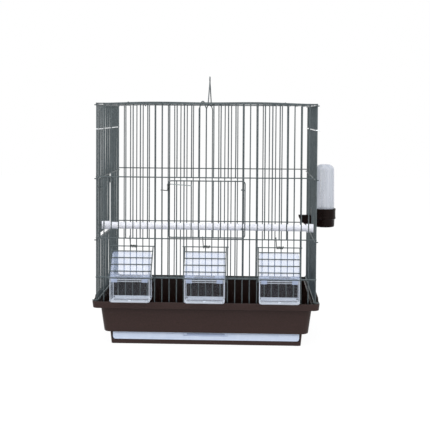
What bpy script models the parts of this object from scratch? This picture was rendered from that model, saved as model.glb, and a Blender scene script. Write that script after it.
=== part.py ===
# Wire bird cage on a moulded base: five welded wire panels, two hinged wire doors with
# coiled latches, three lift-off seed feeders, a perch, a tube drinker, a litter drawer and
# a folding hanger. Metres, +Z up, front towards -Y, origin at the middle of the underside.

import math

import bmesh
import bpy
from mathutils import Matrix, Vector

# Wire cage
WIRE_RADIUS = 0.0010
WIRE_PITCH = 0.0125
FRONT_SPACES = 30
SIDE_SPACES = 20
WELD_DEPTH = 0.0004          # how far crossing wires sink into each other
END_SHARE = 1.2              # wires run on past their last crossing by this share of a radius
FIT_GAP = 0.0003             # running gap between separate pieces
RIM_HEIGHT = 0.0780          # top of the base's rim above the ground

# Heights of the cage's level wires above the rim
TOP_LEVEL = 0.3394
MIDDLE_LEVEL = 0.2143
LOWER_LEVEL = 0.1091
FEEDER_LEVEL = 0.0415
SIDE_LEVEL_DROP = 0.0036     # side panels' level wires lie this much under the front's
SIDE_FOOT_LEVEL = 0.0018
BACK_FOOT_LEVEL = -0.0026
STAY_LEVEL = 0.2955
FEEDER_WIRE_RADIUS = 0.0015

# Hairpin at the top of the front and back panels: two wires lean in to one small loop
ARCH_WIRE = 14
ARCH_RADIUS = 0.0024
ARCH_RISE = 0.0018           # loop's centre above the top level wire
ARCH_LEAN = 0.0086           # the wires lean in from this far below it
HOOK_TIP = 0.0036            # how far the side wires' hooked ends stand out
FOOT_TIP = 0.0070
STAY_TIP = 0.0070

# Roof
ROOF_ARCH = 0.0019            # the roof's rise at its middle
ROOF_CROWN = 0.0012           # what its two humps add
ROOF_BOWS = 4
ROOF_HOOK_X = 0.1335
BOW_STEPS = 12

# Moulded base: half sizes in X and Y at each level
FLANGE_HALF = (0.1953, 0.1315)
FLANGE_HEIGHT = 0.0115
FLANGE_DRAFT = 0.0012
BODY_TOP_HALF = (0.1833, 0.1200)
BODY_DRAFT = (0.0059, 0.0059)
BODY_FOOT_HALF = (BODY_TOP_HALF[0] - BODY_DRAFT[0], BODY_TOP_HALF[1] - BODY_DRAFT[1])
HOUSING_STEP = (0.0108, 0.0066)
HOUSING_TOP_HALF = (BODY_FOOT_HALF[0] - HOUSING_STEP[0], BODY_FOOT_HALF[1] - HOUSING_STEP[1])
HOUSING_DRAFT = (0.0020, 0.0015)
HOUSING_FOOT_HALF = (HOUSING_TOP_HALF[0] - HOUSING_DRAFT[0],
                     HOUSING_TOP_HALF[1] - HOUSING_DRAFT[1])
HOUSING_HEIGHT = 0.0220
BASE_WALL = 0.0020
CHANNEL_DEPTH = 0.0040
FLANGE_CORNER = 0.0100
BODY_CORNER = 0.0120
HOUSING_CORNER = 0.0030
CORNER_STEPS = 4
SIDE_LIP_HEIGHT = 0.0045
SIDE_LIP_HALF = 0.1000
RUNNER_HEIGHT = 0.0060
RUNNER_WIDTH = 0.0030
RUNNER_SPACING = 0.1000

# Litter drawer
DRAWER_SIDE_GAP = 0.0010
DRAWER_FRONT_TALL = 0.0132
DRAWER_WALL = 0.0014
DRAWER_FRONT_THICK = 0.0025
DRAWER_SIDE_TALL = 0.0108
DRAWER_BACK_GAP = 0.0030
DRAWER_CORNER = 0.0050
GRIP_HALF = 0.0385
GRIP_DEPTH = 0.0014
GRIP_TALL = 0.0062
GRIP_LEDGE = 0.0020

# Doors, the same on the front and on the left side
DOOR_FIRST_WIRE = 10
DOOR_SPACES = 10
DOOR_STAND_OFF = 0.0040      # door frame's plane in front of the panel's wires
DOOR_LATCH_SIDE = 0.0013     # latch wire beyond the first panel wire
DOOR_HINGE_SIDE = 0.0040     # hinge wire beyond the last panel wire
DOOR_TOP_GAP = 0.0060         # door clears the side panel's lower level wire too
DOOR_FOOT_GAP = 0.0027
DOOR_CORNER = 0.0050
HINGE_HOOK_INSET = 0.0150
SIDE_DOOR_FIRST_WIRE = 3

# Door latch
COIL_POINTS = 8
LATCH_WIRE_RADIUS = 0.00075
LATCH_TURNS = 5
LATCH_COIL_TALL = 0.0110
LATCH_COIL_DROP = 0.0055
LATCH_LEVER = 0.0400
LATCH_LEVER_DROP = 0.0025

# Feeders: guard frame of bars, clear cup and clear hood
FEEDER_CENTRE_WIRES = (5, 15, 25)
FEEDER_SPACES = 6
CUP_HALF = 0.0340
CUP_FRONT = 0.0430           # cup's front ahead of the panel's wires
CUP_TALL = 0.0400
CUP_WALL = 0.0014
CUP_CORNER = 0.0035
CUP_TOP_LIFT = 0.0044        # cup's rim above the feeder wire
GUARD_WIRE_RADIUS = 0.0009
GUARD_BARS = 5
GUARD_TOP_DROP = 0.0132      # guard's top wire under the lower level wire
GUARD_TOP_HALF = 0.0395
GUARD_HOOK_DOWN = 0.0070
HOOD_THICK = 0.0012
HOOD_CORNER = 0.0060
HOOD_TOP_SHARE = 0.14        # hood's upper edge, as a share of the way down the bars
HOOD_SLOT = (0.0340, 0.0020)
HOOD_TAB = (0.0100, 0.0052)
HOOD_TAB_THICK = 0.0008
CATCH_TURNS = 4
CATCH_COIL_WIDE = 0.0115
CATCH_OFFSET = -0.0040

# Perch: its left cap grips a bar of the side door, its right cap a wire of the right panel
PERCH_LEFT_WIRE = 6
PERCH_RIGHT_WIRE = 5
PERCH_LEVEL = 0.1215
PERCH_RADIUS = 0.0060
PERCH_CAP_RADIUS = 0.0075
PERCH_CAP_LENGTH = 0.0145
PERCH_SOCKET = 0.0090
PERCH_STEPS = 16

# Tube drinker on the right panel
DRINKER_GAP_WIRE = 9
DRINKER_STAND_OFF = 0.0235   # drinker's centre outside the panel's wires
DRINKER_FOOT = 0.1180        # above the rim
DRINKER_LOWER_TALL = 0.0147
DRINKER_TALL = 0.0333
DRINKER_LOWER_RADIUS = 0.0186
DRINKER_UPPER_RADIUS = 0.0205
DRINKER_WALL = 0.0020
SPOUT_REACH = 0.0262         # spout's end inside the panel's wires
SPOUT_LIFT = 0.0031           # spout's foot above the base's
SPOUT_TALL = 0.0176
SPOUT_WALL = 0.0013
SPOUT_PLATE_TALL = 0.0140
TUBE_RADIUS = 0.0180
TUBE_WALL = 0.0012
TUBE_TOP = 0.2322
TUBE_SEAT = 0.0160
TUBE_SHOULDER = 0.0060
DRINKER_STEPS = 20

# Hanger
HANGER_HALF_SPAN = 0.0620
HANGER_TOP = 0.3914
HANGER_EYE_RADIUS = 0.0045

HALF_WIDTH = FRONT_SPACES * WIRE_PITCH / 2
HALF_DEPTH = SIDE_SPACES * WIRE_PITCH / 2
CROSSING = 2 * WIRE_RADIUS - WELD_DEPTH
WRAP = 2 * WIRE_RADIUS + FIT_GAP
WIRE_END = END_SHARE * WIRE_RADIUS
EDGE_ON = math.radians(30)   # turns a six-sided wire so that an edge faces its crossing wire


def start_collections():
    for old in list(bpy.data.objects):
        bpy.data.objects.remove(old)
    parts = bpy.data.collections.new("bird_cage")
    cutters = bpy.data.collections.new("cutters")
    bpy.context.scene.collection.children.link(parts)
    bpy.context.scene.collection.children.link(cutters)
    return parts, cutters


PARTS, CUTTERS = start_collections()


def finish_material(name, colour, roughness, metallic=0.0, alpha=1.0):
    material = bpy.data.materials.new(name)
    material.use_nodes = True
    shader = material.node_tree.nodes["Principled BSDF"]
    shader.inputs["Base Color"].default_value = (*colour, 1.0)
    shader.inputs["Roughness"].default_value = roughness
    shader.inputs["Metallic"].default_value = metallic
    shader.inputs["Alpha"].default_value = alpha
    return material


PAINT = ("grey_green_paint", (0.060, 0.085, 0.085), 0.40, 0.2)
BROWN = ("brown_plastic", (0.042, 0.024, 0.022), 0.55)
DARK_BROWN = ("dark_brown_plastic", (0.012, 0.005, 0.004), 0.35)
WHITE = ("white_plastic", (0.75, 0.80, 0.88), 0.35)
CLEAR = ("clear_plastic", (0.80, 0.86, 0.92), 0.10, 0.0, 0.35)
ZINC = ("zinc", (0.62, 0.64, 0.66), 0.30, 1.0)


def set_finish(item, finish):
    item.data.materials.clear()
    item.data.materials.append(finish_material(item.name + "_" + finish[0], *finish[1:]))


def link(name, mesh, collection=None):
    item = bpy.data.objects.new(name, mesh)
    (collection or PARTS).objects.link(item)
    return item


def evaluated_mesh(item):
    bpy.context.view_layer.update()
    graph = bpy.context.evaluated_depsgraph_get()
    mesh = bpy.data.meshes.new_from_object(item.evaluated_get(graph))
    mesh.transform(item.matrix_world)
    return mesh


def replace_mesh(item, mesh):
    item.modifiers.clear()
    item.data = mesh
    item.matrix_world = Matrix.Identity(4)
    return item


def apply_modifiers(item):
    return replace_mesh(item, evaluated_mesh(item))


def combine(item, tool, operation):
    """Joins the tool to the item, or cuts it away, and removes the tool."""
    step = item.modifiers.new(operation.lower(), "BOOLEAN")
    step.operation = operation
    step.solver = "EXACT"
    step.object = tool
    apply_modifiers(item)
    bpy.data.objects.remove(tool)
    return item


def smooth(item, angle=40):
    item.data.shade_smooth()
    item.data.set_sharp_from_angle(angle=math.radians(angle))


def move_origin(item, point):
    """Puts the object's origin on its joint without moving its shape."""
    item.data.transform(Matrix.Translation(-Vector(point)))
    item.location = point


def weld(mesh):
    shape = bmesh.new()
    shape.from_mesh(mesh)
    bmesh.ops.remove_doubles(shape, verts=shape.verts, dist=1e-7)
    bmesh.ops.recalc_face_normals(shape, faces=shape.faces)
    shape.to_mesh(mesh)
    shape.free()


def wires(name, paths, radius=WIRE_RADIUS, tilt=0.0, closed=False, place=None):
    """Round wires along the paths, as one mesh with closed ends."""
    curve = bpy.data.curves.new(name, "CURVE")
    curve.dimensions = "3D"
    curve.bevel_depth = radius
    curve.bevel_resolution = 1
    curve.use_fill_caps = True
    for path in paths:
        spline = curve.splines.new("POLY")
        spline.points.add(len(path) - 1)
        spline.use_cyclic_u = closed
        for point, position in zip(spline.points, path):
            point.co = (*position, 1.0)
            point.tilt = tilt
    guide = link(name, curve, CUTTERS)
    mesh = evaluated_mesh(guide)
    bpy.data.objects.remove(guide)
    if place is not None:
        mesh.transform(place)
    weld(mesh)
    return link(name, mesh)


def bend(corners, radius, steps=2):
    """Rounds the inner corners of a path with arcs of the given radius."""
    path = [Vector(corners[0])]
    for before, corner, after in zip(corners, corners[1:], corners[2:]):
        corner = Vector(corner)
        back = (Vector(before) - corner).normalized()
        ahead = (Vector(after) - corner).normalized()
        half = back.angle(ahead) / 2
        reach = radius / math.tan(half)
        centre = corner + (back + ahead).normalized() * (radius / math.sin(half))
        first = corner + back * reach - centre
        last = corner + ahead * reach - centre
        sweep = first.angle(last)
        for step in range(steps + 1):
            share = step / steps
            mix = first * math.sin((1 - share) * sweep) + last * math.sin(share * sweep)
            path.append(centre + mix / math.sin(sweep))
    path.append(Vector(corners[-1]))
    return [tuple(point) for point in path]


def closed_bend(corners, radius, steps=2):
    ring = [corners[-1]] + list(corners) + [corners[0]]
    return bend(ring, radius, steps)[1:-1]


def arc(centre, radius, first, last, steps, across, along):
    """Points of an arc in the plane of the axes across and along, angles in degrees."""
    centre, across, along = Vector(centre), Vector(across), Vector(along)
    points = []
    for step in range(steps + 1):
        angle = math.radians(first + (last - first) * step / steps)
        points.append(tuple(centre + radius * (across * math.cos(angle) + along * math.sin(angle))))
    return points


def flat_shape(name, outline, thickness, place):
    """A flat plate from a closed outline in its own XY plane, centred on that plane."""
    curve = bpy.data.curves.new(name, "CURVE")
    curve.dimensions = "2D"
    curve.fill_mode = "BOTH"
    curve.extrude = thickness / 2
    spline = curve.splines.new("POLY")
    spline.points.add(len(outline) - 1)
    spline.use_cyclic_u = True
    for point, (across, up) in zip(spline.points, outline):
        point.co = (across, up, 0.0, 1.0)
    guide = link(name, curve, CUTTERS)
    mesh = evaluated_mesh(guide)
    bpy.data.objects.remove(guide)
    mesh.transform(place)
    weld(mesh)
    return link(name, mesh)


def block(name, low, high, collection=None):
    """A box between two corners."""
    shape = bmesh.new()
    bmesh.ops.create_cube(shape, size=1.0)
    low, high = Vector(low), Vector(high)
    size = high - low
    bmesh.ops.transform(
        shape,
        matrix=Matrix.Translation((low + high) / 2) @ Matrix.Diagonal((*size, 1.0)),
        verts=shape.verts,
    )
    mesh = bpy.data.meshes.new(name)
    shape.to_mesh(mesh)
    shape.free()
    return link(name, mesh, collection)


def turned(name, profile, centre, steps=32):
    """A turned shape from (radius, height) points, from the outer top down and round."""
    mesh = bpy.data.meshes.new(name)
    points = [(radius, 0.0, height) for radius, height in profile]
    edges = [(index, index + 1) for index in range(len(points) - 1)]
    mesh.from_pydata(points, edges, [])
    item = link(name, mesh)
    item.location = centre
    screw = item.modifiers.new("turn", "SCREW")
    screw.steps = steps
    screw.render_steps = steps
    screw.use_merge_vertices = True
    screw.merge_threshold = 0.00001
    screw.use_normal_calculate = True
    apply_modifiers(item)
    weld(item.data)
    return item


def wire_x(number):
    return -HALF_WIDTH + number * WIRE_PITCH


def wire_y(number):
    return -HALF_DEPTH + number * WIRE_PITCH


def upright_spans(number, has_openings):
    """The stretches of a front or back wire that are left by the door and the feeders."""
    foot = RIM_HEIGHT - CHANNEL_DEPTH + FIT_GAP
    top = RIM_HEIGHT + TOP_LEVEL + WIRE_END
    spans = [(foot, top)]
    if not has_openings:
        return spans
    cuts = []
    if DOOR_FIRST_WIRE < number < DOOR_FIRST_WIRE + DOOR_SPACES:
        cuts.append((LOWER_LEVEL + WIRE_END, MIDDLE_LEVEL - WIRE_END))
    for centre in FEEDER_CENTRE_WIRES:
        if abs(number - centre) < FEEDER_SPACES // 2:
            cuts.append((FEEDER_LEVEL + 0.8 * WIRE_RADIUS, LOWER_LEVEL - WIRE_END))
    for low, high in sorted(cuts):
        first, last = spans.pop()
        spans.append((first, RIM_HEIGHT + low))
        spans.append((RIM_HEIGHT + high, last))
    return [span for span in spans if span[1] - span[0] > 4 * WIRE_RADIUS]


def end_panel(name, has_openings, place):
    """Front or back panel: uprights, a hairpin and welded level wires."""
    plane = -HALF_DEPTH
    paths = []
    for number in range(FRONT_SPACES + 1):
        if number in (ARCH_WIRE, ARCH_WIRE + 1):
            continue
        for low, high in upright_spans(number, has_openings):
            paths.append([(wire_x(number), plane, low), (wire_x(number), plane, high)])
    left_spans = upright_spans(ARCH_WIRE, has_openings)
    for low, high in left_spans[:-1]:
        for number in (ARCH_WIRE, ARCH_WIRE + 1):
            paths.append([(wire_x(number), plane, low), (wire_x(number), plane, high)])
    low = left_spans[-1][0]
    lean = RIM_HEIGHT + TOP_LEVEL - ARCH_LEAN
    middle = (wire_x(ARCH_WIRE + 0.5), plane, RIM_HEIGHT + TOP_LEVEL + ARCH_RISE)
    hairpin = [(wire_x(ARCH_WIRE), plane, low), (wire_x(ARCH_WIRE), plane, lean)]
    hairpin += arc(middle, ARCH_RADIUS, 180, 0, 4, (1, 0, 0), (0, 0, 1))
    hairpin += [(wire_x(ARCH_WIRE + 1), plane, lean), (wire_x(ARCH_WIRE + 1), plane, low)]
    paths.append(hairpin)
    panel = wires(name, paths, tilt=EDGE_ON, place=place)

    end = HALF_WIDTH + WIRE_END
    front = plane - CROSSING
    levels = [(TOP_LEVEL, end), (MIDDLE_LEVEL, end), (LOWER_LEVEL, end)]
    if not has_openings:
        levels.append((BACK_FOOT_LEVEL, end - WIRE_PITCH))
    level_paths = []
    for level, half in levels:
        height = RIM_HEIGHT + level
        level_paths.append([(-half, front, height), (half, front, height)])
    combine(panel, wires("level_wires", level_paths, place=place), "UNION")
    if has_openings:
        front = plane - WIRE_RADIUS - FEEDER_WIRE_RADIUS + WELD_DEPTH
        z = RIM_HEIGHT + FEEDER_LEVEL
        feeder_wire = wires("feeder_wire", [[(-end, front, z), (end, front, z)]],
                            radius=FEEDER_WIRE_RADIUS, place=place)
        combine(panel, feeder_wire, "UNION")
    smooth(panel, 70)
    set_finish(panel, PAINT)
    return panel


def hooked_level_wire(height, tip, plane):
    """A front-to-back wire whose two ends wrap round the corner wires."""
    corner = HALF_DEPTH
    wrap_x = HALF_WIDTH - WRAP
    path = [(HALF_WIDTH + tip, -corner - WRAP, height)]
    path += arc((HALF_WIDTH, -corner, height), WRAP, 270, 180, 3, (1, 0, 0), (0, 1, 0))
    if plane - wrap_x > FIT_GAP:
        path.append((plane, -corner + WIRE_PITCH / 2, height))
        path.append((plane, corner - WIRE_PITCH / 2, height))
    path += arc((HALF_WIDTH, corner, height), WRAP, 180, 90, 3, (1, 0, 0), (0, 1, 0))
    path.append((HALF_WIDTH + tip, corner + WRAP, height))
    return path


def side_panel(name, side, has_door):
    """Left or right panel, modelled on the right and turned over for the left."""
    place = Matrix.Diagonal((side, 1.0, 1.0, 1.0))
    foot = RIM_HEIGHT - CHANNEL_DEPTH + FIT_GAP
    middle = RIM_HEIGHT + MIDDLE_LEVEL - SIDE_LEVEL_DROP
    lower = RIM_HEIGHT + LOWER_LEVEL - SIDE_LEVEL_DROP
    level_top = RIM_HEIGHT + TOP_LEVEL - SIDE_LEVEL_DROP + 0.001
    top = level_top + WIRE_END
    paths = []
    for number in range(1, SIDE_SPACES):
        x, y = HALF_WIDTH, wire_y(number)
        in_door = SIDE_DOOR_FIRST_WIRE < number < SIDE_DOOR_FIRST_WIRE + DOOR_SPACES
        if has_door and in_door:
            paths.append([(x, y, foot), (x, y, lower + WIRE_END)])
            paths.append([(x, y, middle - WIRE_END), (x, y, top)])
        else:
            paths.append([(x, y, foot), (x, y, top)])
    panel = wires(name, paths, place=place)
    plane = HALF_WIDTH - CROSSING
    level_paths = [hooked_level_wire(RIM_HEIGHT + SIDE_FOOT_LEVEL, FOOT_TIP, plane)]
    for height in (lower, middle, level_top):
        level_paths.append(hooked_level_wire(height, HOOK_TIP, plane))
    combine(panel, wires("level_wires", level_paths, place=place), "UNION")
    weld(panel.data)
    smooth(panel, 70)
    set_finish(panel, PAINT)
    return panel


def stay_rod(name, side):
    """A bright rod that ties the front panel to the back one."""
    height = RIM_HEIGHT + STAY_LEVEL
    path = hooked_level_wire(height, STAY_TIP, HALF_WIDTH - WRAP)
    rod = wires(name, [path], place=Matrix.Diagonal((side, 1.0, 1.0, 1.0)))
    smooth(rod, 70)
    set_finish(rod, ZINC)


def crown(x):
    """A shallow arch with a hump on either side of the middle, level at both ends."""
    share = x / HALF_WIDTH
    return ROOF_ARCH * (1 - share ** 2) + ROOF_CROWN * math.sin(math.pi * share) ** 2


def bow_stations():
    """Places along X of the bowed wires' points, a little past the side panels at both ends."""
    half = HALF_WIDTH + 0.5 * WIRE_RADIUS
    return [-half + 2 * half * step / BOW_STEPS for step in range(BOW_STEPS + 1)]


def bow_height(x):
    """Height of the straight stretch between two points of a bowed wire."""
    stations = bow_stations()
    index = min(step for step in range(BOW_STEPS) if x <= stations[step + 1])
    share = (x - stations[index]) / (stations[index + 1] - stations[index])
    return crown(stations[index]) * (1 - share) + crown(stations[index + 1]) * share


def roof_edge_height():
    side_top = RIM_HEIGHT + TOP_LEVEL - SIDE_LEVEL_DROP + 0.001
    return side_top + WRAP


def roof_panel():
    """Straight front-to-back wires under bowed cross wires, with two hooks at each end."""
    edge = roof_edge_height()
    reach = HALF_DEPTH - WRAP
    end = reach + WIRE_END
    straight = []
    for number in range(1, FRONT_SPACES):
        height = edge + bow_height(wire_x(number)) - CROSSING
        straight.append([(wire_x(number), -end, height), (wire_x(number), end, height)])
    over = RIM_HEIGHT + TOP_LEVEL + WRAP
    hook_line = HALF_DEPTH + CROSSING
    for x in (-ROOF_HOOK_X, ROOF_HOOK_X):
        for side in (-1, 1):
            centre = (x, side * hook_line, RIM_HEIGHT + TOP_LEVEL)
            path = [(x, side * (reach - 0.002), max(edge + bow_height(x) + 0.0006, over))]
            path += arc(centre, WRAP, 90, 0, 3, (0, side, 0), (0, 0, 1))
            path.append((x, side * (hook_line + WRAP), RIM_HEIGHT + TOP_LEVEL - 0.003))
            straight.append(path)
    panel = wires("roof_panel", straight, tilt=EDGE_ON)
    bows = []
    for number in range(ROOF_BOWS):
        y = -reach + 2 * reach * number / (ROOF_BOWS - 1)
        bows.append([(x, y, edge + crown(x)) for x in bow_stations()])
    combine(panel, wires("bows", bows, tilt=EDGE_ON), "UNION")
    smooth(panel, 70)
    set_finish(panel, PAINT)


def rounded_loop(half_x, half_y, radius, height):
    """Points round a rounded rectangle, anticlockwise seen from above."""
    loop = []
    corners = ((1, 1, 0), (-1, 1, 90), (-1, -1, 180), (1, -1, 270))
    for sign_x, sign_y, start in corners:
        centre = (sign_x * (half_x - radius), sign_y * (half_y - radius), height)
        loop += arc(centre, radius, start, start + 90, CORNER_STEPS, (1, 0, 0), (0, 1, 0))
    return loop


def loft(name, loops, collection=None):
    """A closed body through loops of equal length, with flat first and last faces."""
    shape = bmesh.new()
    rings = [[shape.verts.new(point) for point in loop] for loop in loops]
    count = len(rings[0])
    shape.faces.new(list(reversed(rings[0])))
    shape.faces.new(rings[-1])
    for lower, upper in zip(rings, rings[1:]):
        for index in range(count):
            following = (index + 1) % count
            shape.faces.new((lower[index], lower[following], upper[following], upper[index]))
    bmesh.ops.recalc_face_normals(shape, faces=shape.faces)
    mesh = bpy.data.meshes.new(name)
    shape.to_mesh(mesh)
    shape.free()
    return link(name, mesh, collection)


def inner(half, amount):
    return half[0] - amount, half[1] - amount


def base_tub():
    """Moulded base: drawer housing, tapered tub and a flange with a channel for the cage."""
    flange_under = RIM_HEIGHT - CHANNEL_DEPTH - BASE_WALL
    skirt_foot = RIM_HEIGHT - FLANGE_HEIGHT
    body_foot = HOUSING_HEIGHT + BASE_WALL
    step_round = 0.0010
    housing, body, flange = HOUSING_CORNER, BODY_CORNER, FLANGE_CORNER
    sections = [
        (HOUSING_FOOT_HALF, 0.0, housing),
        (HOUSING_TOP_HALF, HOUSING_HEIGHT, housing),
        (inner(BODY_FOOT_HALF, 2 * step_round), HOUSING_HEIGHT, body),
        (inner(BODY_FOOT_HALF, 0.3 * step_round), HOUSING_HEIGHT + step_round, body),
        (BODY_FOOT_HALF, HOUSING_HEIGHT + 2.5 * step_round, body),
        (BODY_TOP_HALF, flange_under, body),
        (inner(FLANGE_HALF, 2 * BASE_WALL), flange_under, flange),
        (inner(FLANGE_HALF, FLANGE_DRAFT + BASE_WALL), skirt_foot, flange),
        (inner(FLANGE_HALF, FLANGE_DRAFT), skirt_foot, flange),
        (FLANGE_HALF, RIM_HEIGHT - step_round, flange),
        (inner(FLANGE_HALF, step_round), RIM_HEIGHT, flange),
        (inner(FLANGE_HALF, BASE_WALL), RIM_HEIGHT, flange),
        (inner(FLANGE_HALF, BASE_WALL), RIM_HEIGHT - CHANNEL_DEPTH, flange),
        (BODY_TOP_HALF, RIM_HEIGHT - CHANNEL_DEPTH, body),
        (inner(BODY_TOP_HALF, BASE_WALL), RIM_HEIGHT - CHANNEL_DEPTH - step_round, body),
        (inner(BODY_FOOT_HALF, BASE_WALL), body_foot, body),
        (inner(HOUSING_TOP_HALF, BASE_WALL), body_foot, housing),
        (inner(HOUSING_FOOT_HALF, BASE_WALL), BASE_WALL, housing),
    ]
    loops = []
    for (half_x, half_y), height, radius in sections:
        loops.append(rounded_loop(half_x, half_y, radius, height))
    tub = loft("base_tub", loops)
    for side in (-1, 1):
        outline = [(-SIDE_LIP_HALF, -0.002), (SIDE_LIP_HALF, -0.002),
                   (SIDE_LIP_HALF - 0.004, SIDE_LIP_HEIGHT - 0.001),
                   (SIDE_LIP_HALF - 0.008, SIDE_LIP_HEIGHT),
                   (0.008 - SIDE_LIP_HALF, SIDE_LIP_HEIGHT),
                   (0.004 - SIDE_LIP_HALF, SIDE_LIP_HEIGHT - 0.001)]
        lip_middle = FLANGE_HALF[0] - BASE_WALL / 2 - 0.0002
        place = Matrix.Translation((side * lip_middle, 0, RIM_HEIGHT))
        place = place @ Matrix.Rotation(math.radians(90), 4, "Z")
        place = place @ Matrix.Rotation(math.radians(90), 4, "X")
        combine(tub, flat_shape("side_lip", outline, BASE_WALL - 0.0008, place), "UNION")
    for number in (-1, 0, 1):
        x = number * RUNNER_SPACING
        reach = HOUSING_FOOT_HALF[1] - BASE_WALL / 2
        low = (x - RUNNER_WIDTH / 2, -reach, BASE_WALL / 2)
        high = (x + RUNNER_WIDTH / 2, reach, BASE_WALL + RUNNER_HEIGHT)
        combine(tub, block("runner", low, high), "UNION")
    opening_half = HOUSING_FOOT_HALF[0] - BASE_WALL
    low = (-opening_half, -HOUSING_TOP_HALF[1] - 0.01, BASE_WALL + RUNNER_HEIGHT)
    high = (opening_half, -HOUSING_FOOT_HALF[1] + 2 * BASE_WALL + HOUSING_CORNER,
            HOUSING_HEIGHT)
    combine(tub, block("drawer_way", low, high), "DIFFERENCE")
    smooth(tub, 35)
    set_finish(tub, BROWN)


def drawer():
    """Shallow litter tray with a rounded front and a finger recess."""
    foot = BASE_WALL + RUNNER_HEIGHT + FIT_GAP
    half = HOUSING_FOOT_HALF[0] - BASE_WALL - DRAWER_SIDE_GAP
    front = -HOUSING_TOP_HALF[1]
    back = HOUSING_FOOT_HALF[1] - BASE_WALL - DRAWER_BACK_GAP
    depth = (back - front) / 2
    middle = (back + front) / 2
    sections = [(0.0, 0.0), (-0.0006, DRAWER_SIDE_TALL), (DRAWER_WALL, DRAWER_SIDE_TALL),
                (DRAWER_WALL + 0.0006, DRAWER_WALL)]
    loops = []
    for amount, height in sections:
        loop = rounded_loop(half - amount, depth - amount, DRAWER_CORNER, foot + height)
        loops.append([(x, y + middle, z) for x, y, z in loop])
    tray = loft("drawer", loops)
    face_foot = foot
    face_top = foot + DRAWER_FRONT_TALL
    corners = [(-half, face_top, 0.0), (-half, face_foot, 0.0), (half, face_foot, 0.0),
               (half, face_top, 0.0)]
    outline = [(x, z) for x, z, _ in bend([corners[0], corners[1], corners[2], corners[3]],
                                          DRAWER_CORNER, 4)]
    upright = Matrix.Rotation(math.radians(90), 4, "X")
    place = Matrix.Translation((0, front + DRAWER_FRONT_THICK / 2, 0)) @ upright
    combine(tray, flat_shape("drawer_front", outline, DRAWER_FRONT_THICK, place), "UNION")
    low = (-GRIP_HALF, front - 0.001, face_top - GRIP_TALL)
    high = (GRIP_HALF, front + GRIP_DEPTH, face_top + 0.001)
    combine(tray, block("grip", low, high), "DIFFERENCE")
    ledge_low = (-GRIP_HALF * 0.85, front, face_top - GRIP_TALL + GRIP_LEDGE)
    ledge_high = (GRIP_HALF * 0.85, front + GRIP_DEPTH + 0.0005,
                  face_top - GRIP_TALL + 2 * GRIP_LEDGE)
    combine(tray, block("grip_ledge", ledge_low, ledge_high), "UNION")
    smooth(tray, 35)
    set_finish(tray, WHITE)


def door_frame_places():
    latch_x = wire_x(DOOR_FIRST_WIRE) - DOOR_LATCH_SIDE
    hinge_x = wire_x(DOOR_FIRST_WIRE + DOOR_SPACES) + DOOR_HINGE_SIDE
    low = RIM_HEIGHT + LOWER_LEVEL + DOOR_FOOT_GAP
    high = RIM_HEIGHT + MIDDLE_LEVEL - DOOR_TOP_GAP
    return latch_x, hinge_x, low, high


def door(name, place, hinge_at):
    """Wire door whose hooks wrap round the panel's hinge wire."""
    latch_x, hinge_x, low, high = door_frame_places()
    plane = -HALF_DEPTH - DOOR_STAND_OFF
    corners = [(latch_x, plane, low), (hinge_x, plane, low), (hinge_x, plane, high),
               (latch_x, plane, high)]
    frame = wires(name, [closed_bend(corners, DOOR_CORNER, 3)], closed=True, place=place)
    behind = plane + CROSSING
    bars = []
    for number in range(DOOR_FIRST_WIRE + 1, DOOR_FIRST_WIRE + DOOR_SPACES):
        x = wire_x(number)
        bars.append([(x, behind, low - WIRE_END), (x, behind, high + WIRE_END)])
    combine(frame, wires("door_bars", bars, tilt=EDGE_ON, place=place), "UNION")
    hooks = []
    for height in (low + HINGE_HOOK_INSET, high - HINGE_HOOK_INSET):
        centre = (wire_x(DOOR_FIRST_WIRE + DOOR_SPACES), -HALF_DEPTH, height)
        hook = [(hinge_x, plane, height)]
        hook += arc(centre, WRAP, -70, -310, 6, (1, 0, 0), (0, 1, 0))
        hooks.append(hook)
    combine(frame, wires("hinge_hooks", hooks, place=place), "UNION")
    smooth(frame, 70)
    set_finish(frame, PAINT)
    move_origin(frame, hinge_at)
    return frame


def coil(centre, radius, first, turns, length, axis, across, along):
    """Points of a coil round an axis, from the first angle in degrees."""
    centre, axis, across, along = Vector(centre), Vector(axis), Vector(across), Vector(along)
    points = []
    count = int(abs(turns) * COIL_POINTS)
    for step in range(count + 1):
        share = step / count
        angle = math.radians(first + 360 * turns * share)
        point = centre + axis * (length * share)
        point += radius * (across * math.cos(angle) + along * math.sin(angle))
        points.append(tuple(point))
    return points


def print_least_gap(name, winding, points_per_turn, wire_radius):
    """Measures how close a coil's wire comes to itself, half a turn or more further on."""
    nearest = 1.0
    for index, point in enumerate(winding):
        for other in winding[index + points_per_turn // 2 + 1:]:
            nearest = min(nearest, (Vector(point) - Vector(other)).length)
    print(f"{name}: least gap between the coil's turns {(nearest - 2 * wire_radius) * 1000:.2f} mm")


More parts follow.
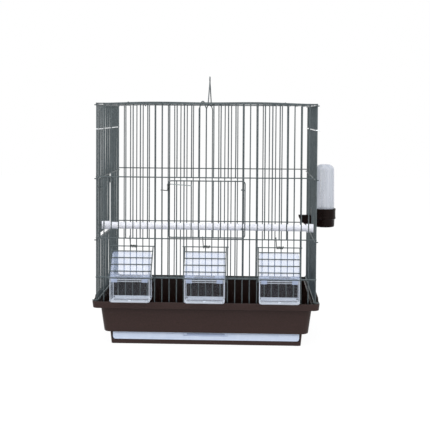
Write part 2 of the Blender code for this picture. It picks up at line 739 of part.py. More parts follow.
def door_latch(name, place, turns_at):
    """Lever, coil round the door's wire and a catch that reaches behind the panel."""
    latch_x, _, _, high = door_frame_places()
    plane = -HALF_DEPTH - DOOR_STAND_OFF
    radius = WIRE_RADIUS + FIT_GAP + LATCH_WIRE_RADIUS
    top = high - LATCH_COIL_DROP
    low = top - LATCH_COIL_TALL
    front = plane - radius
    catch_x = wire_x(DOOR_FIRST_WIRE - 1)
    clear = WIRE_RADIUS + FIT_GAP + LATCH_WIRE_RADIUS + 0.0001
    path = [(latch_x + LATCH_LEVER, front, top - LATCH_LEVER_DROP - 0.002),
            (latch_x + LATCH_LEVER - 0.001, front, top - LATCH_LEVER_DROP),
            (latch_x + 0.004, front, top)]
    winding = coil((latch_x, plane, top), radius, -90, -LATCH_TURNS, low - top,
                   (0, 0, 1), (1, 0, 0), (0, 1, 0))
    path += winding
    print_least_gap(name, winding, COIL_POINTS, LATCH_WIRE_RADIUS)
    path += [(latch_x - 0.004, front + 0.0004, low),
             (catch_x + clear + 0.0012, -HALF_DEPTH - 0.0022, low),
             (catch_x + clear, -HALF_DEPTH + 0.0008, low),
             (catch_x + 0.0009, -HALF_DEPTH + clear, low),
             (catch_x - 0.0030, -HALF_DEPTH + clear, low)]
    latch = wires(name, [path], radius=LATCH_WIRE_RADIUS, place=place)
    smooth(latch, 70)
    set_finish(latch, PAINT)
    move_origin(latch, turns_at)
    return latch


def door_set(names, place):
    hinge = place @ Vector((wire_x(DOOR_FIRST_WIRE + DOOR_SPACES), -HALF_DEPTH, RIM_HEIGHT))
    latch_x = door_frame_places()[0]
    latch_axis = place @ Vector((latch_x, -HALF_DEPTH - DOOR_STAND_OFF, RIM_HEIGHT))
    door(names[0], place, hinge)
    door_latch(names[1], place, latch_axis)


def feeder_line():
    """Ends of the guard's slope as (Y, Z): its top wire and its lowest bar."""
    top = (-HALF_DEPTH - CROSSING - WRAP, RIM_HEIGHT + LOWER_LEVEL - GUARD_TOP_DROP)
    rim = RIM_HEIGHT + FEEDER_LEVEL + CUP_TOP_LIFT
    foot = (-HALF_DEPTH - CUP_FRONT - 0.0004,
            rim + 2 * FIT_GAP + HOOD_TAB_THICK + GUARD_WIRE_RADIUS)
    return top, foot


def along_slope(share, offset=0.0):
    """A point down the guard's slope, moved inwards by the offset."""
    (top_y, top_z), (foot_y, foot_z) = feeder_line()
    run = Vector((foot_y - top_y, foot_z - top_z))
    inward = Vector((-run.y, run.x)).normalized()
    if inward.x < 0:
        inward = -inward
    point = Vector((top_y, top_z)) + run * share + inward * offset
    return point.x, point.y


def feeder_frame(name, centre_x):
    """Guard of bars with side wires that hook over the panel's feeder wire."""
    side_half = CUP_HALF + FIT_GAP + GUARD_WIRE_RADIUS
    hook_radius = FEEDER_WIRE_RADIUS + FIT_GAP + GUARD_WIRE_RADIUS
    wire_centre_y = -HALF_DEPTH - WIRE_RADIUS - FEEDER_WIRE_RADIUS + WELD_DEPTH
    wire_centre_z = RIM_HEIGHT + FEEDER_LEVEL
    weld_step = 2 * GUARD_WIRE_RADIUS - WELD_DEPTH
    top_y, top_z = along_slope(0.0, weld_step)
    bend_y, bend_z = along_slope(1.02, weld_step)
    hook_top = wire_centre_z + hook_radius
    sides = []
    for sign in (-1, 1):
        x = centre_x + sign * side_half
        path = [(x, top_y - 0.0002, top_z + 0.0010),
                (x, bend_y, bend_z),
                (x, bend_y + 0.0030, hook_top),
                (x, wire_centre_y - 0.0005, hook_top)]
        path += arc((x, wire_centre_y, wire_centre_z), hook_radius, 90, 0, 3, (0, 1, 0), (0, 0, 1))
        path.append((x, wire_centre_y + hook_radius, wire_centre_z - GUARD_HOOK_DOWN))
        sides.append(path)
    frame = wires(name, sides, radius=GUARD_WIRE_RADIUS, tilt=EDGE_ON)
    (first_y, first_z) = along_slope(0.0)
    bars = [[(centre_x - GUARD_TOP_HALF, first_y, first_z),
             (centre_x + GUARD_TOP_HALF, first_y, first_z)]]
    end = side_half + END_SHARE * GUARD_WIRE_RADIUS
    for number in range(GUARD_BARS):
        share = 0.16 + 0.84 * number / (GUARD_BARS - 1)
        y, z = along_slope(share)
        bars.append([(centre_x - end, y, z), (centre_x + end, y, z)])
    combine(frame, wires("bars", bars, radius=GUARD_WIRE_RADIUS, tilt=EDGE_ON), "UNION")
    smooth(frame, 70)
    set_finish(frame, PAINT)
    return frame


def feeder_cup(name, centre_x):
    """Clear open cup with a lip at the back that rests on the panel's feeder wire."""
    rim = RIM_HEIGHT + FEEDER_LEVEL + CUP_TOP_LIFT
    wire_front = -HALF_DEPTH - WIRE_RADIUS - 2 * FEEDER_WIRE_RADIUS + WELD_DEPTH
    back = wire_front - 0.0008
    front = -HALF_DEPTH - CUP_FRONT
    shape = bmesh.new()
    bmesh.ops.create_cube(shape, size=1.0)
    size = Vector((2 * CUP_HALF, back - front, CUP_TALL))
    middle = Vector((centre_x, (back + front) / 2, rim - CUP_TALL / 2))
    move = Matrix.Translation(middle) @ Matrix.Diagonal((*size, 1.0))
    bmesh.ops.transform(shape, matrix=move, verts=shape.verts)
    top = [face for face in shape.faces if face.normal.z > 0.5]
    bmesh.ops.delete(shape, geom=top, context="FACES_ONLY")
    rounded = [edge for edge in shape.edges if not edge.is_boundary]
    bmesh.ops.bevel(shape, geom=rounded, offset=CUP_CORNER, segments=2, profile=0.5,
                    affect="EDGES")
    mesh = bpy.data.meshes.new(name)
    shape.to_mesh(mesh)
    shape.free()
    cup = link(name, mesh)
    shell = cup.modifiers.new("wall", "SOLIDIFY")
    shell.thickness = CUP_WALL
    shell.offset = -1.0
    apply_modifiers(cup)
    lip_half = CUP_HALF - CUP_CORNER
    lip_low = RIM_HEIGHT + FEEDER_LEVEL + FEEDER_WIRE_RADIUS + FIT_GAP
    low = (centre_x - lip_half, back - CUP_WALL, lip_low)
    high = (centre_x + lip_half, -HALF_DEPTH + 0.0010, lip_low + 0.0012)
    combine(cup, block("lip", low, high), "UNION")
    smooth(cup, 35)
    set_finish(cup, CLEAR)
    return cup


def feeder_cover(name, centre_x):
    """Clear hood behind the bars, with side cheeks, a finger slot and two front tabs."""
    half = CUP_HALF - 0.0002
    rim = RIM_HEIGHT + FEEDER_LEVEL + CUP_TOP_LIFT
    sheet = GUARD_WIRE_RADIUS + FIT_GAP + HOOD_THICK / 2
    # The side wires run behind the bars, so the sheet lies between them at the same depth.
    sheet_half = half - 0.0004
    top_y, top_z = along_slope(HOOD_TOP_SHARE, sheet)
    foot_y, foot_z = along_slope(0.985, sheet)
    clear_z = rim + FIT_GAP + HOOD_THICK / 2
    foot_y = top_y + (foot_y - top_y) * (clear_z - top_z) / (foot_z - top_z)
    foot_z = clear_z
    length = math.hypot(foot_y - top_y, foot_z - top_z)
    slope = math.atan2(top_z - foot_z, top_y - foot_y)
    corners = [(-sheet_half, 0.0, 0.0), (-sheet_half, length, 0.0), (sheet_half, length, 0.0),
               (sheet_half, 0.0, 0.0)]
    outline = [(x, y) for x, y, _ in bend(corners, HOOD_CORNER, 4)]
    place = Matrix.Translation((centre_x, foot_y, foot_z)) @ Matrix.Rotation(slope, 4, "X")
    hood = flat_shape(name, outline, HOOD_THICK, place)
    slot_at = 0.14 * length
    slot = block("slot", (-HOOD_SLOT[0] / 2, slot_at, -0.01),
                 (HOOD_SLOT[0] / 2, slot_at + HOOD_SLOT[1], 0.01), CUTTERS)
    slot.data.transform(place)
    combine(hood, slot, "DIFFERENCE")
    cheek_back = -HALF_DEPTH - CROSSING - WIRE_RADIUS - 0.0020
    cheek_top = top_z - HOOD_CORNER
    share = (cheek_top - top_z) / (foot_z - top_z)
    cheek_front = top_y + (foot_y - top_y) * share
    upright = Matrix(((0, 0, 1, 0), (1, 0, 0, 0), (0, 1, 0, 0), (0, 0, 0, 1)))
    for sign in (-1, 1):
        side = [(foot_y, foot_z), (cheek_back, foot_z), (cheek_back, cheek_top),
                (cheek_front, cheek_top)]
        x = centre_x + sign * (sheet_half - HOOD_THICK / 2)
        cheek = flat_shape("cheek", side, HOOD_THICK, Matrix.Translation((x, 0, 0)) @ upright)
        combine(hood, cheek, "UNION")
        tab_x = centre_x + sign * (CUP_HALF - CUP_CORNER - HOOD_TAB[0] / 2)
        cup_front = -HALF_DEPTH - CUP_FRONT
        left, right = tab_x - HOOD_TAB[0] / 2, tab_x + HOOD_TAB[0] / 2
        outside = cup_front - FIT_GAP
        low = rim + FIT_GAP
        tab = block("tab", (left, outside - HOOD_TAB_THICK, rim - HOOD_TAB[1]),
                    (right, outside, low + HOOD_TAB_THICK))
        bridge = block("bridge", (left, outside - HOOD_TAB_THICK / 2, low),
                       (right, foot_y + HOOD_THICK, low + HOOD_TAB_THICK))
        combine(tab, bridge, "UNION")
        combine(hood, tab, "UNION")
    weld(hood.data)
    smooth(hood, 35)
    set_finish(hood, CLEAR)
    return hood


def feeder_catch(name, centre_x):
    """Coil round the guard's top wire with an arm that stands behind the lower level wire."""
    axis_y, axis_z = along_slope(0.0)
    radius = GUARD_WIRE_RADIUS + FIT_GAP + LATCH_WIRE_RADIUS
    start = centre_x + CATCH_OFFSET
    behind = -HALF_DEPTH - CROSSING + WIRE_RADIUS + FIT_GAP + LATCH_WIRE_RADIUS + 0.0002
    lower = RIM_HEIGHT + LOWER_LEVEL
    # The arm is upright from just above the coil, so that the feeder can rise behind the wire.
    path = [(start - 0.0015, behind, lower + 0.0040), (start - 0.0003, behind, axis_z + 0.0012)]
    winding = coil((start, axis_y, axis_z), radius, 0, -CATCH_TURNS, CATCH_COIL_WIDE,
                   (1, 0, 0), (0, 1, 0), (0, 0, 1))
    path += winding
    print_least_gap(name, winding, COIL_POINTS, LATCH_WIRE_RADIUS)
    catch = wires(name, [path], radius=LATCH_WIRE_RADIUS)
    smooth(catch, 70)
    set_finish(catch, PAINT)
    move_origin(catch, (centre_x, axis_y, axis_z))
    return catch


def feeders():
    for word, wire in zip(("left", "centre", "right"), FEEDER_CENTRE_WIRES):
        centre_x = wire_x(wire)
        feeder_frame("feeder_frame_" + word, centre_x)
        feeder_cup("feeder_cup_" + word, centre_x)
        feeder_cover("feeder_cover_" + word, centre_x)
        feeder_catch("feeder_catch_" + word, centre_x)


def perch():
    """Round bar held by two end caps whose slots grip an upright wire each."""
    z = RIM_HEIGHT + PERCH_LEVEL
    left = Vector((-HALF_WIDTH - DOOR_STAND_OFF + CROSSING, wire_y(PERCH_LEFT_WIRE), z))
    right = Vector((HALF_WIDTH, wire_y(PERCH_RIGHT_WIRE), z))
    middle = (left + right) / 2
    lay = Matrix.Translation(middle) @ (right - left).to_track_quat("Z", "Y").to_matrix().to_4x4()
    cap_end = (right - left).length / 2 + WIRE_RADIUS + FIT_GAP
    cap_start = cap_end - PERCH_CAP_LENGTH
    bar_end = cap_start + PERCH_SOCKET - FIT_GAP
    edge = 0.0006
    profile = [(0.0, bar_end), (PERCH_RADIUS - edge, bar_end), (PERCH_RADIUS, bar_end - edge),
               (PERCH_RADIUS, edge - bar_end), (PERCH_RADIUS - edge, -bar_end), (0.0, -bar_end)]
    bar = turned("perch_bar", profile, (0, 0, 0), PERCH_STEPS)
    bar.data.transform(lay)
    smooth(bar)
    set_finish(bar, WHITE)
    socket = PERCH_RADIUS + FIT_GAP
    for word, sign, wire in (("left", -1, left), ("right", 1, right)):
        cap_profile = [(0.0, cap_end), (PERCH_CAP_RADIUS - 2 * edge, cap_end),
                       (PERCH_CAP_RADIUS, cap_end - 2 * edge),
                       (PERCH_CAP_RADIUS, cap_start), (socket, cap_start),
                       (socket, cap_start + PERCH_SOCKET), (0.0, cap_start + PERCH_SOCKET)]
        cap = turned("perch_cap_" + word, cap_profile, (0, 0, 0), PERCH_STEPS)
        over = Matrix.Rotation(math.radians(90 - 90 * sign), 4, "Y")
        cap.data.transform(lay @ over)
        slot_half = WIRE_RADIUS + FIT_GAP
        reach = 2 * PERCH_CAP_RADIUS
        slot = block("slot", (-slot_half, -slot_half, -reach), (reach, slot_half, reach))
        slot.data.transform(Matrix.Translation(wire) @ Matrix.Diagonal((sign, sign, 1.0, 1.0)))
        combine(cap, slot, "DIFFERENCE")
        weld(cap.data)
        smooth(cap)
        set_finish(cap, WHITE)


def drinker():
    """Round water base with a spout between two side wires, and an upturned clear tube."""
    x = HALF_WIDTH + DRINKER_STAND_OFF
    y = wire_y(DRINKER_GAP_WIRE) + WIRE_PITCH / 2
    foot = RIM_HEIGHT + DRINKER_FOOT
    waist = foot + DRINKER_LOWER_TALL
    top = foot + DRINKER_TALL
    seat = top - TUBE_SEAT
    socket = TUBE_RADIUS + FIT_GAP
    bore = TUBE_RADIUS - 0.0025
    floor = foot + DRINKER_WALL
    profile = [(0.0, floor), (bore, floor), (bore, seat), (socket, seat), (socket, top),
               (DRINKER_UPPER_RADIUS, top), (DRINKER_UPPER_RADIUS, waist),
               (DRINKER_LOWER_RADIUS, waist - 0.0008), (DRINKER_LOWER_RADIUS - 0.0004, foot + 0.002),
               (DRINKER_LOWER_RADIUS - 0.0022, foot), (0.0, foot)]
    base = turned("drinker_base", profile, (x, y, 0), DRINKER_STEPS)
    gap_half = WIRE_PITCH / 2 - WIRE_RADIUS - FIT_GAP
    upright = Matrix(((1, 0, 0, 0), (0, 0, -1, y), (0, 1, 0, 0), (0, 0, 0, 1)))
    spout_foot = foot + SPOUT_LIFT
    spout_top = spout_foot + SPOUT_TALL
    end = HALF_WIDTH - SPOUT_REACH
    deep_join = x - bore - 0.0010
    high_join = x - socket - 0.0008
    outline = [(deep_join, spout_foot), (deep_join, seat - 0.0010), (high_join, seat - 0.0010),
               (high_join, spout_top), (end, spout_top), (end + 0.0014, spout_top - 0.0055),
               (end + 0.0046, spout_foot + 0.0066), (end + 0.0095, spout_foot + 0.0024),
               (end + 0.0150, spout_foot)]
    spout = flat_shape("spout", outline, 2 * gap_half, upright)
    plate = block("plate", (HALF_WIDTH - 0.0008, y - gap_half, spout_foot + 0.001),
                  (HALF_WIDTH + 0.0008, y + gap_half, spout_top + SPOUT_PLATE_TALL))
    combine(spout, plate, "UNION")
    combine(base, spout, "UNION")
    wall = SPOUT_WALL
    hollow = [(x - bore + 0.002, spout_foot + wall), (x - bore + 0.002, spout_top - 0.005),
              (HALF_WIDTH - 0.0020, spout_top - 0.005), (HALF_WIDTH - 0.0020, spout_top + 0.001),
              (end + wall, spout_top + 0.001), (end + wall + 0.0014, spout_top - 0.0055),
              (end + wall + 0.0046, spout_foot + 0.0070), (end + 0.0106, spout_foot + 0.0036),
              (end + 0.0156, spout_foot + wall)]
    combine(base, flat_shape("hollow", hollow, 2 * (gap_half - wall), upright), "DIFFERENCE")
    weld(base.data)
    smooth(base, 35)
    set_finish(base, DARK_BROWN)

    high = RIM_HEIGHT + TUBE_TOP
    low = seat + FIT_GAP
    outer, inside, round_off = TUBE_RADIUS, TUBE_RADIUS - TUBE_WALL, TUBE_SHOULDER
    profile = [(0.0, high)]
    profile += [(outer - round_off + round_off * math.sin(angle),
                 high - round_off + round_off * math.cos(angle))
                for angle in (0.0, math.pi / 6, math.pi / 3, math.pi / 2)]
    profile += [(outer, low), (inside, low)]
    profile += [(inside - round_off + round_off * math.cos(angle),
                 high - TUBE_WALL - round_off + round_off * math.sin(angle))
                for angle in (0.0, math.pi / 6, math.pi / 3, math.pi / 2)]
    profile += [(0.0, high - TUBE_WALL)]
    tube = turned("drinker_tube", profile, (x, y, 0), DRINKER_STEPS)
    smooth(tube)
    set_finish(tube, CLEAR)
    move_origin(tube, (x, y, low))


def hanger():
    """Wire bail with an eye, hooked round the roof's middle wire at both feet."""
    centre_z = roof_edge_height() + bow_height(0.0) - CROSSING
    eye_top = RIM_HEIGHT + HANGER_TOP
    eye_centre = (0.0, 0.0, eye_top - WIRE_RADIUS - HANGER_EYE_RADIUS)
    throat = 0.0020
    half_open = math.degrees(math.asin(throat / HANGER_EYE_RADIUS))
    front_hook = arc((0, -HANGER_HALF_SPAN, centre_z), WRAP, -150, 90, 7, (1, 0, 0), (0, 0, 1))
    path = list(front_hook)
    path += arc(eye_centre, HANGER_EYE_RADIUS, 270 - half_open, half_open - 90, 9,
                (0, 1, 0), (0, 0, 1))
    path += [(x, -y, z) for x, y, z in reversed(front_hook)]
    bail = wires("hanger", [path])
    smooth(bail, 70)
    set_finish(bail, PAINT)
    move_origin(bail, (0, 0, centre_z))


def build():
    half_turn = Matrix.Rotation(math.pi, 4, "Z")
    end_panel("front_panel", True, None)
    end_panel("back_panel", False, half_turn)
    side_panel("left_panel", -1, True)
    side_panel("right_panel", 1, False)
    roof_panel()
    stay_rod("stay_rod_left", -1)
    stay_rod("stay_rod_right", 1)
    base_tub()
    drawer()
    door_set(("front_door", "front_door_latch"), Matrix.Identity(4))
    hinge_y = wire_y(SIDE_DOOR_FIRST_WIRE)
    hinge_x = wire_x(DOOR_FIRST_WIRE + DOOR_SPACES)
    to_side = Matrix.Translation((-HALF_WIDTH, hinge_y + hinge_x, 0))
    to_side = to_side @ Matrix.Rotation(math.radians(-90), 4, "Z")
    to_side = to_side @ Matrix.Translation((0, HALF_DEPTH, 0))
    door_set(("side_door", "side_door_latch"), to_side)
    feeders()
    perch()
    drinker()
    hanger()


build()
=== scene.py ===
import math
from functools import partial

import bpy
import numpy as np
from mathutils import Matrix, Vector


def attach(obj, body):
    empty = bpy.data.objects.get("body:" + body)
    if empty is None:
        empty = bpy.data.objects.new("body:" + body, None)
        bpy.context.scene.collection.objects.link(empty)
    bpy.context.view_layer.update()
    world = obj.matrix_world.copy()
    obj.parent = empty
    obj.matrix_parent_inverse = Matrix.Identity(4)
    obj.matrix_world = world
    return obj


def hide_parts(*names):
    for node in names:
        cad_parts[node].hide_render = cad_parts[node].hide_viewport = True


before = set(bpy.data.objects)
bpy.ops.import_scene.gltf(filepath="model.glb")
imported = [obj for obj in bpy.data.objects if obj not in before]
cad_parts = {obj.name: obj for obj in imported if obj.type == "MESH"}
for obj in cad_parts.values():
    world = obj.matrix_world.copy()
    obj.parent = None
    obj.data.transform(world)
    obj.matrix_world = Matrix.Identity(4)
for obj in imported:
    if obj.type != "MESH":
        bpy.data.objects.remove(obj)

chain = np.concatenate       # end to end
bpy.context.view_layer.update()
print("frame loaded:", len(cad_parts), "nodes")

# All the shapes below are worked out in millimetres; makePiece turns them into metres.

cage = {
    "halfWidth": 187.5, "halfDepth": 125.0, "pitch": 12.5,
    "frontWires": 31, "sideWires": 21,      # uprights, with the corner wires counted in both
    "wireRadius": 1.0, "feederWireRadius": 1.5,
    "crossing": 1.6,          # distance between the middles of two welded wires
    "wrap": 2.3,              # distance between the middles of two wires that only hook
    "play": 0.3,              # gap between pieces that move or drop in
    "wireEnd": 1.2,           # wires run on past their last weld
    "bow": 0.22,              # how far a wire strays from straight between its ends
    "bead": (1.25, 1.0),      # half sizes of a weld along and through the panel
    "beadOut": 0.85,
    "foot": 74.3, "feeder": 119.5, "lower": 187.1, "middle": 292.3, "top": 417.4,
    "backFoot": 75.4, "feederWireY": -127.1,
    "sideFoot": 79.8, "sideLower": 183.5, "sideMiddle": 288.7, "sideTop": 414.8, "stay": 373.5,
    "arch": {"wire": 14, "radius": 2.4, "rise": 1.8, "lean": 8.6, "bend": 6.0},
    "doorWires": (10, 20), "sideDoorWires": (3, 13), "feederWires": (5, 15, 25),
    "feederReach": 3,         # a feeder's opening ends at this many wires from its middle
    "shortest": 4.0,          # no stub of an upright shorter than this is left
    "hookTip": 3.6, "footTip": 7.0, "stayTip": 7.0, "hookRun": 7.0,
}
rounding = {"along": (0.0, 0.18, 0.55), "scale": (0.62, 0.88, 1.0)}     # a wire's end, in radii
rng = np.random.default_rng(7)


def pick(table, names):
    # The entries of a dictionary that have these names, in this order.
    return [table[name] for name in names.split()]


def unit(vectors):
    return vectors / np.linalg.norm(vectors, axis=-1, keepdims=True)


def circle(sides):
    # Two columns, cos a and sin a, for points evenly round a circle.
    angle = np.linspace(0, 2 * np.pi, sides, endpoint=False)[:, None]
    return np.cos(angle), np.sin(angle)


def spread(x, y, z):
    # Points from single numbers and arrays of one length.
    return np.stack(np.broadcast_arrays(x, y, z), -1)


def addObject(name, data):
    # A new object in the scene, at the origin.
    item = bpy.data.objects.new(name, data)
    bpy.context.scene.collection.objects.link(item)
    return item


def makePiece(name, parts, finish, body="cage", sharp=70):
    # Joins (points, quads, caps) lists end to end into one mesh in metres.
    points, quads, caps, start = [], [], [], 0
    for part in parts:
        points.append(part[0])
        quads.append(part[1] + start)
        caps += [[index + start for index in cap] for cap in part[2]]
        start += len(part[0])
    mesh = bpy.data.meshes.new(name)
    mesh.from_pydata(chain(points) * 0.001, [], chain(quads).tolist() + caps)
    mesh.validate()
    piece = addObject(name, mesh)
    mesh.materials.append(finish)
    mesh.shade_smooth()
    mesh.set_sharp_from_angle(angle=math.radians(sharp))
    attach(piece, body)
    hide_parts(name)
    return piece


def gridQuads(rows, columns, closedRows=False):
    # Four corners of each cell of a grid of points; its columns go round, and closed rows too.
    row = np.arange(rows if closedRows else rows - 1)[:, None]
    column = np.arange(columns)[None, :]
    nextRow, nextColumn = (row + 1) % rows, (column + 1) % columns
    corners = (row * columns + column, row * columns + nextColumn,
               nextRow * columns + nextColumn, nextRow * columns + column)
    return np.stack(corners, -1).reshape(-1, 4)


def tubeFaces(rows, sides, copies=1):
    # The quads of tubes that follow one another in the points, and a cap on each of their ends.
    shift = np.arange(copies)[:, None] * rows * sides
    quads = (gridQuads(rows, sides)[None] + shift[..., None]).reshape(-1, 4)
    first = np.arange(sides)[::-1] + shift
    last = np.arange((rows - 1) * sides, rows * sides) + shift
    return quads, first.tolist() + last.tolist()


def sweepWire(path, across, radius=cage["wireRadius"], sides=10, closed=False):
    # A circle carried along the path: centre + radius (across cos a + side sin a), with side
    # square to the path and to across. Open ends are rounded off by three shrinking circles.
    path = np.asarray(path, float)
    if closed:
        scale = np.ones(len(path))
        tangent = np.roll(path, -1, axis=0) - np.roll(path, 1, axis=0)
    else:
        first, last = unit(path[1] - path[0]), unit(path[-1] - path[-2])
        steps = radius * np.array(rounding["along"])[:, None]
        path = chain([path[0] + first * steps, path[1:-1], path[-1] - last * steps[::-1]])
        scale = np.ones(len(path))
        scale[:3] = scale[-1:-4:-1] = rounding["scale"]
        tangent = np.gradient(path, axis=0)
        tangent[:2], tangent[-2:] = first, last
    tangent = unit(tangent)
    side = unit(np.cross(tangent, across))
    lift = np.cross(side, tangent)
    cosine, sine = circle(sides)
    ring = lift[:, None] * cosine + side[:, None] * sine
    points = path[:, None] + radius * scale[:, None, None] * ring
    faces = (gridQuads(len(path), sides, True), []) if closed else tubeFaces(len(path), sides)
    return (points.reshape(-1, 3), *faces)


def straightWires(starts, ends, across, radius=cage["wireRadius"], sides=8, bow=cage["bow"]):
    # Many straight wires at once: start + (end - start) t, plus a faint arch bow sin(pi t).
    starts, ends = np.asarray(starts, float), np.asarray(ends, float)
    run = unit(ends - starts)
    length = np.linalg.norm(ends - starts, axis=1)[:, None]
    tip = radius * np.array(rounding["along"]) + np.zeros_like(length)
    along = chain([tip, length * (0.25, 0.5, 0.75), length - tip[:, ::-1]], 1)
    scale = np.array([*rounding["scale"], 1.0, 1.0, 1.0, *rounding["scale"][::-1]])
    across = np.asarray(across, float)
    side = np.cross(run, across)
    arch = rng.normal(0, bow, (len(run), 2))
    sway = (across * arch[:, :1] + side * arch[:, 1:])[:, None]
    wave = np.sin(np.pi * along / length)[..., None]
    middle = starts[:, None] + run[:, None] * along[..., None] + wave * sway
    cosine, sine = circle(sides)
    ring = across * cosine + side[:, None] * sine
    points = middle[:, :, None] + radius * scale[:, None, None] * ring[:, None]
    return (points.reshape(-1, 3), *tubeFaces(len(scale), sides, len(run)))


def weldBeads(centres, size, sides=8):
    # Flattened balls where wires cross: centre + size (cos b cos a, cos b sin a, sin b).
    tilt = np.radians([-62, -22, 22, 62])[:, None, None]
    cosine, sine = circle(sides)
    ball = chain([np.cos(tilt) * cosine, np.cos(tilt) * sine, np.sin(tilt) + 0 * sine], -1)
    points = np.asarray(centres, float)[:, None] + ball.reshape(-1, 3) * size
    return (points.reshape(-1, 3), *tubeFaces(len(tilt), sides, len(centres)))


def arcPath(centre, radius, first, last, steps, across, along, rise=(0, 0, 0)):
    # centre + rise t + radius (across cos a + along sin a), a going from first to last degrees.
    share = np.linspace(0, 1, steps + 1)[:, None]
    angle = np.radians(first + (last - first) * share)
    return centre + share * rise + radius * (np.cos(angle) * across + np.sin(angle) * along)


def roundPath(corners, radius, steps=5, closed=False):
    # Each corner becomes an arc of the given radius that touches both of its sides.
    corners = [np.asarray(corner, float) for corner in corners]
    ring = [corners[-1]] + corners + [corners[0]] if closed else corners
    path = []
    for before, corner, after in zip(ring, ring[1:], ring[2:]):
        back, ahead = unit(before - corner), unit(after - corner)
        half = math.acos(np.clip(back @ ahead, -1, 1)) / 2
        centre = corner + unit(back + ahead) * radius / math.sin(half)
        first, last = (corner + way * radius / math.tan(half) - centre for way in (back, ahead))
        sweep = math.pi - 2 * half
        share = np.linspace(0, 1, steps + 1)[:, None]
        path.append(centre + (first * np.sin((1 - share) * sweep)
                              + last * np.sin(share * sweep)) / math.sin(sweep))
    return chain(path if closed else [corners[0][None], *path, corners[-1][None]])


def plateOutline(half, start, end, corner, steps):
    # A plate's outline from start to end, its two corners at the end rounded.
    return roundPath([(-half, start), (-half, end), (half, end), (half, start)], corner, steps)


def insetRows(outline, rows):
    # Sections of the outline (half X, half Y, corner radius): each drawn in, at its height.
    halfX, halfY, corner = outline
    return [(halfX - inset, halfY - inset, corner, height) for inset, height in rows]


def roundedLoops(sections, steps=8):
    # Sections of (half X, half Y, corner radius, height): a rounded rectangle at each height.
    halfX, halfY, radius, height = np.asarray(sections, float).T[..., None, None]
    angle = np.radians(np.linspace(0, 90, steps + 1) + [[0], [90], [180], [270]])
    signX, signY = np.array([[[1], [-1], [-1], [1]], [[1], [1], [-1], [-1]]])
    x = signX * (halfX - radius) + radius * np.cos(angle)
    y = signY * (halfY - radius) + radius * np.sin(angle)
    return spread(x, y, height).reshape(len(sections), -1, 3)


def loftLoops(loops):
    # One skin through the loops, the first and the last of them closed flat.
    return (loops.reshape(-1, 3), *tubeFaces(*loops.shape[:2]))


def turnedShape(profile, place, steps):
    # (radius, height) points turned round Z: place applied to (r cos a, r sin a, h).
    radius, height = np.asarray(profile, float).T[..., None, None]
    cosine, sine = circle(steps)
    points = chain([radius * cosine, radius * sine, height + 0 * sine], -1)
    return place(points.reshape(-1, 3)), gridQuads(len(profile), steps), []


def panelShape(outline, thickness, place):
    # A flat plate: the outline at plus and minus half the thickness, joined by its rim.
    x, y = np.asarray(outline, float).T
    flat = chain([spread(x, y, -thickness / 2), spread(x, y, thickness / 2)])
    return (place(flat), *tubeFaces(2, len(x)))


def boxShape(low, high):
    # The eight corners of a block and its six faces.
    points = np.array([(x, y, z) for x in (low[0], high[0]) for y in (low[1], high[1])
                       for z in (low[2], high[2])], float)
    faces = [(0, 1, 3, 2), (4, 6, 7, 5), (0, 4, 5, 1), (2, 3, 7, 6), (0, 2, 6, 4), (1, 5, 7, 3)]
    return points, np.array(faces), []


def joinOrCut(piece, part, operation="UNION"):
    # Adds a closed shape to the piece, or takes it away, and keeps the result as its mesh.
    points, quads, caps = part
    mesh = bpy.data.meshes.new("tool")
    mesh.from_pydata(points * 0.001, [], quads.tolist() + caps)
    tool = addObject("tool", mesh)
    step = piece.modifiers.new(operation, "BOOLEAN")
    step.operation, step.solver, step.object = operation, "EXACT", tool
    bpy.context.view_layer.update()
    graph = bpy.context.evaluated_depsgraph_get()
    result = bpy.data.meshes.new_from_object(piece.evaluated_get(graph))
    piece.modifiers.clear()
    piece.data = result
    bpy.data.objects.remove(tool)


def markFaces(piece, name, values):
    # Stores one number per face, worked out from the middles of the faces in millimetres.
    mesh = piece.data
    middles = np.empty(len(mesh.polygons) * 3)
    mesh.polygons.foreach_get("center", middles)
    mark = mesh.attributes.new(name, "FLOAT", "FACE")
    mark.data.foreach_set("value", values(middles.reshape(-1, 3) * 1000).astype(np.float32))


def softenEdges(piece, width, segments=2, angle=35):
    # Small round edges, as a mould leaves them.
    bevel = piece.modifiers.new("edges", "BEVEL")
    bevel.width, bevel.segments = width * 0.001, segments
    bevel.limit_method, bevel.angle_limit = "ANGLE", math.radians(angle)
    bevel.harden_normals = False


def hexToLinear(code):
    # sRGB hex to the linear values that a shader wants.
    value = np.array([int(code[k:k + 2], 16) for k in (1, 3, 5)]) / 255
    linear = np.where(value <= 0.04045, value / 12.92, ((value + 0.055) / 1.055) ** 2.4)
    return (*linear.tolist(), 1.0)


def feedNode(node, inputs):
    # Each input takes a value, a socket, or the first output of a node.
    for key, value in inputs.items():
        if isinstance(value, bpy.types.Node):
            value = value.outputs[0]
        if isinstance(value, bpy.types.NodeSocket):
            node.id_data.links.new(value, node.inputs[key])
        else:
            node.inputs[key].default_value = value


def addNode(tree, kind, inputs=None, ramp=(), **settings):
    # Adds one node with its settings, its inputs and the stops of its colour ramp.
    node = tree.nodes.new("ShaderNode" + kind)
    for key, value in settings.items():
        setattr(node, key, value)
    feedNode(node, inputs or {})
    for number, (place, code) in enumerate(ramp):
        stops = node.color_ramp.elements
        stop = stops[number] if number < 2 else stops.new(place)
        stop.position, stop.color = place, hexToLinear(code)
    return node


def startFinish(name):
    # A new material, what adds its nodes, its shader, and where a point is on the piece.
    finish = bpy.data.materials.new(name)
    finish.use_nodes = True
    add = partial(addNode, finish.node_tree)
    shader = finish.node_tree.nodes["Principled BSDF"]
    return finish, add, shader, add("TexCoord").outputs["Object"]


